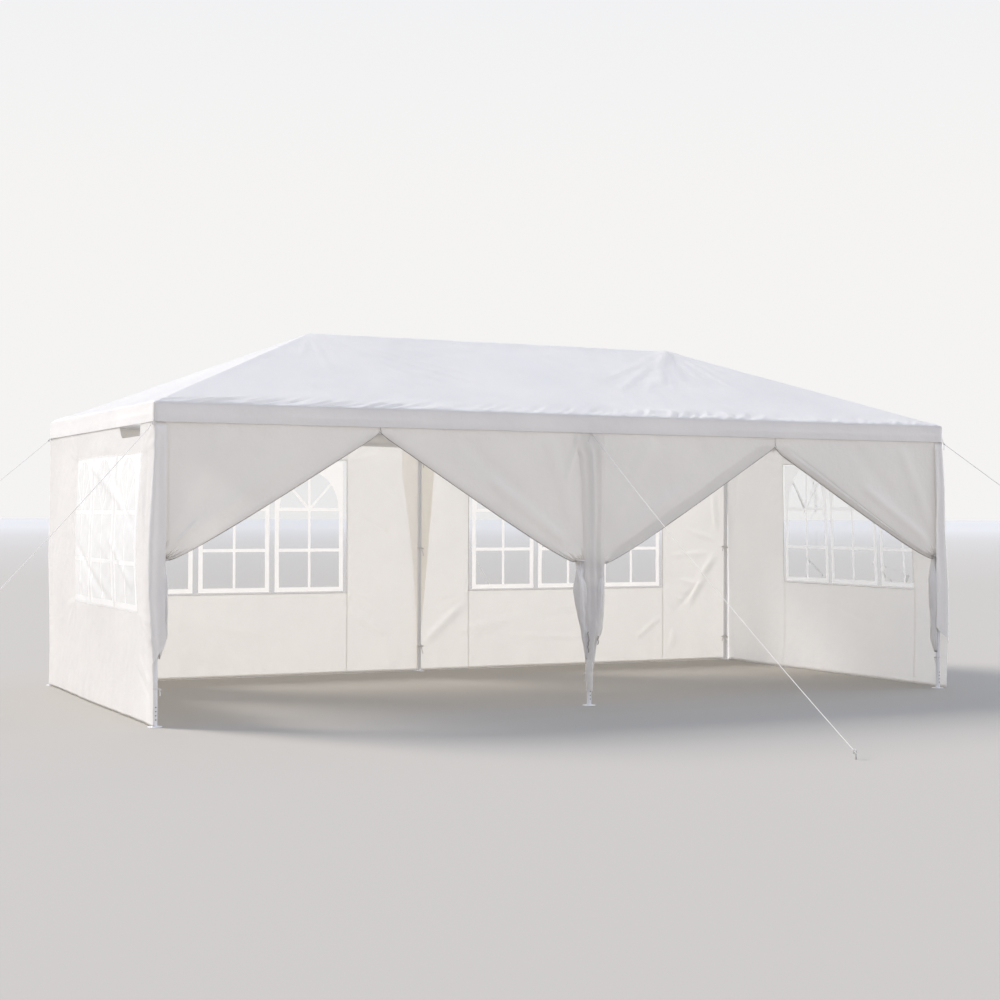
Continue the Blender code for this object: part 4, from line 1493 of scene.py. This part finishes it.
def leg_details(name, place):
    """The holes near the foot and the spring button above the joint, on the side that shows."""
    front = -1 if name.startswith("front") else 1
    out = Vector((0.10, front, 0)).normalized()
    face = place + out * (LEG_RADIUS - 0.0009)
    inward = Vector((-0.4 if place.x >= 0 else 0.4, -front, 0)).normalized()
    button = disc(place + inward * LEG_RADIUS + UP * (JOINT_Z + 0.022), inward, BUTTON_RADIUS, 0.003)
    return [disc(face + UP * z, out, HOLE_RADIUS, 0.0004) for z in HOLE_HEIGHTS], button


legs = [leg_tube(name, place) for name, place in LEGS.items()]
details = [leg_details(name, place) for name, place in LEGS.items()]
# Painted shade: each hole is a dark disc on the tube's face, not a cut.
holes = join_shapes("leg_holes", [hole for made, _ in details for hole in made], PAINTED_HOLE_SHADE)
buttons = join_shapes("leg_spring_buttons", [button for _, button in details], WIRE)
print("legs:", count_faces(*legs, holes, buttons), "faces")

# %% [markdown]
# ## Guy ropes
# Six ropes of twisted polypropylene run from the eave down to wire pegs, tied with a knot at the top and
# looped round the peg. Their routes are the measured ones: from under the valance beside each leg, with
# 35 mm of sag, to where the pegs stand. They are taut, so they are swept along their straight route.

# %% Rope routes
ROPE_RADIUS = 0.0025
ROPE_PITCH = 0.026
ROPE_STEP = 0.0055
ROPE_SAG = 0.035
KNOT_RADIUS = 0.006
WRAP_RADIUS = 0.0042
THIN_ROPE = 0.0021
CLEAR = 0.0003
ROPE_ON_PEG = 0.035
PEG_RADIUS = 0.003
PEG_HEIGHT = 0.052
PEG_BEND = 0.009
WALL_FACE = cover_high.x - abs(end_high.x)
# How far each peg stands from its corner, along X and along Y
GUY_REACH = {"front_left": (-2.17, -2.17), "front_mid": (0.0, -2.88), "front_right": (1.77, -1.77),
             "back_left": (-1.77, 2.88), "back_mid": (1.97, 1.97), "back_right": (2.17, 2.88)}


def guy_rope(name):
    """A rope with its knot, its loose end and its loop round the peg, and the peg."""
    place = LEGS[name]
    side_x, side_y = (place.x > 0) - (place.x < 0), 1 if place.y > 0 else -1
    away = Vector((side_x, side_y, 0)).normalized()
    corner_x, corner_y = side_x * (HALF_LENGTH - WALL_FACE), side_y * (HALF_WIDTH - WALL_FACE)
    start = Vector((corner_x, corner_y, HEM_Z - CLEAR - KNOT_RADIUS)) + away * (KNOT_RADIUS + CLEAR)
    reach_x, reach_y = GUY_REACH[name]
    end = Vector((side_x * HALF_LENGTH + reach_x, side_y * HALF_WIDTH + reach_y, ROPE_ON_PEG))
    run = (end - start).normalized()
    side = run.cross(UP).normalized()
    over = side.cross(run)
    count = int((end - start).length / ROPE_STEP)
    path = [start.lerp(end, t) - UP * (4 * ROPE_SAG * t * (1 - t)) for t in steps(1, count)]
    wraps = [start + run * (0.004 + 0.0035 * a / (2 * pi)) + around(side, over, a) * WRAP_RADIUS
             for a in steps(6 * pi, 60)]
    loose = [start + run * 0.010 + side * (0.004 + 0.028 * t) - UP * (0.045 * t * t) for t in steps(1, 10)]
    up_behind = [start + run * 0.004, start - away * 0.002 + UP * 0.012, start - away * 0.004 + UP * 0.030]
    loop = [end + around(side, run, a) * (PEG_RADIUS + ROPE_RADIUS * 0.8) + UP * (0.002 * a / 3)
            for a in steps(3.6 * pi, 48)]
    shapes = [sweep(path, ROPE_RADIUS, sides=9, lobes=3, pitch=ROPE_PITCH), sweep(wraps, THIN_ROPE),
              sweep(loose, THIN_ROPE), sweep(up_behind, 0.0019), sweep(loop, 0.0022)]
    rope = join_shapes(f"guy_rope_{name}_line", shapes, ROPE)
    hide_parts(f"guy_rope_{name}")
    foot = Vector((end.x, end.y, 0))
    lean = Vector((run.x, run.y, 0)).normalized()
    shoulder = PEG_HEIGHT - PEG_BEND
    bend = [foot + UP * z for z in (0.0, 0.015, 0.030, shoulder)]
    pivot = foot - lean * PEG_BEND + UP * shoulder
    bend += [pivot + around(lean, UP, a) * PEG_BEND for a in steps(pi, 10)[1:]]
    bend.append(bend[-1] - UP * 0.014)
    return rope, join_shapes(f"peg_{name}", [sweep(bend, PEG_RADIUS, sides=12)], WIRE)


ropes = [piece for name in LEGS for piece in guy_rope(name)]
print("ropes and pegs:", count_faces(*ropes), "faces")
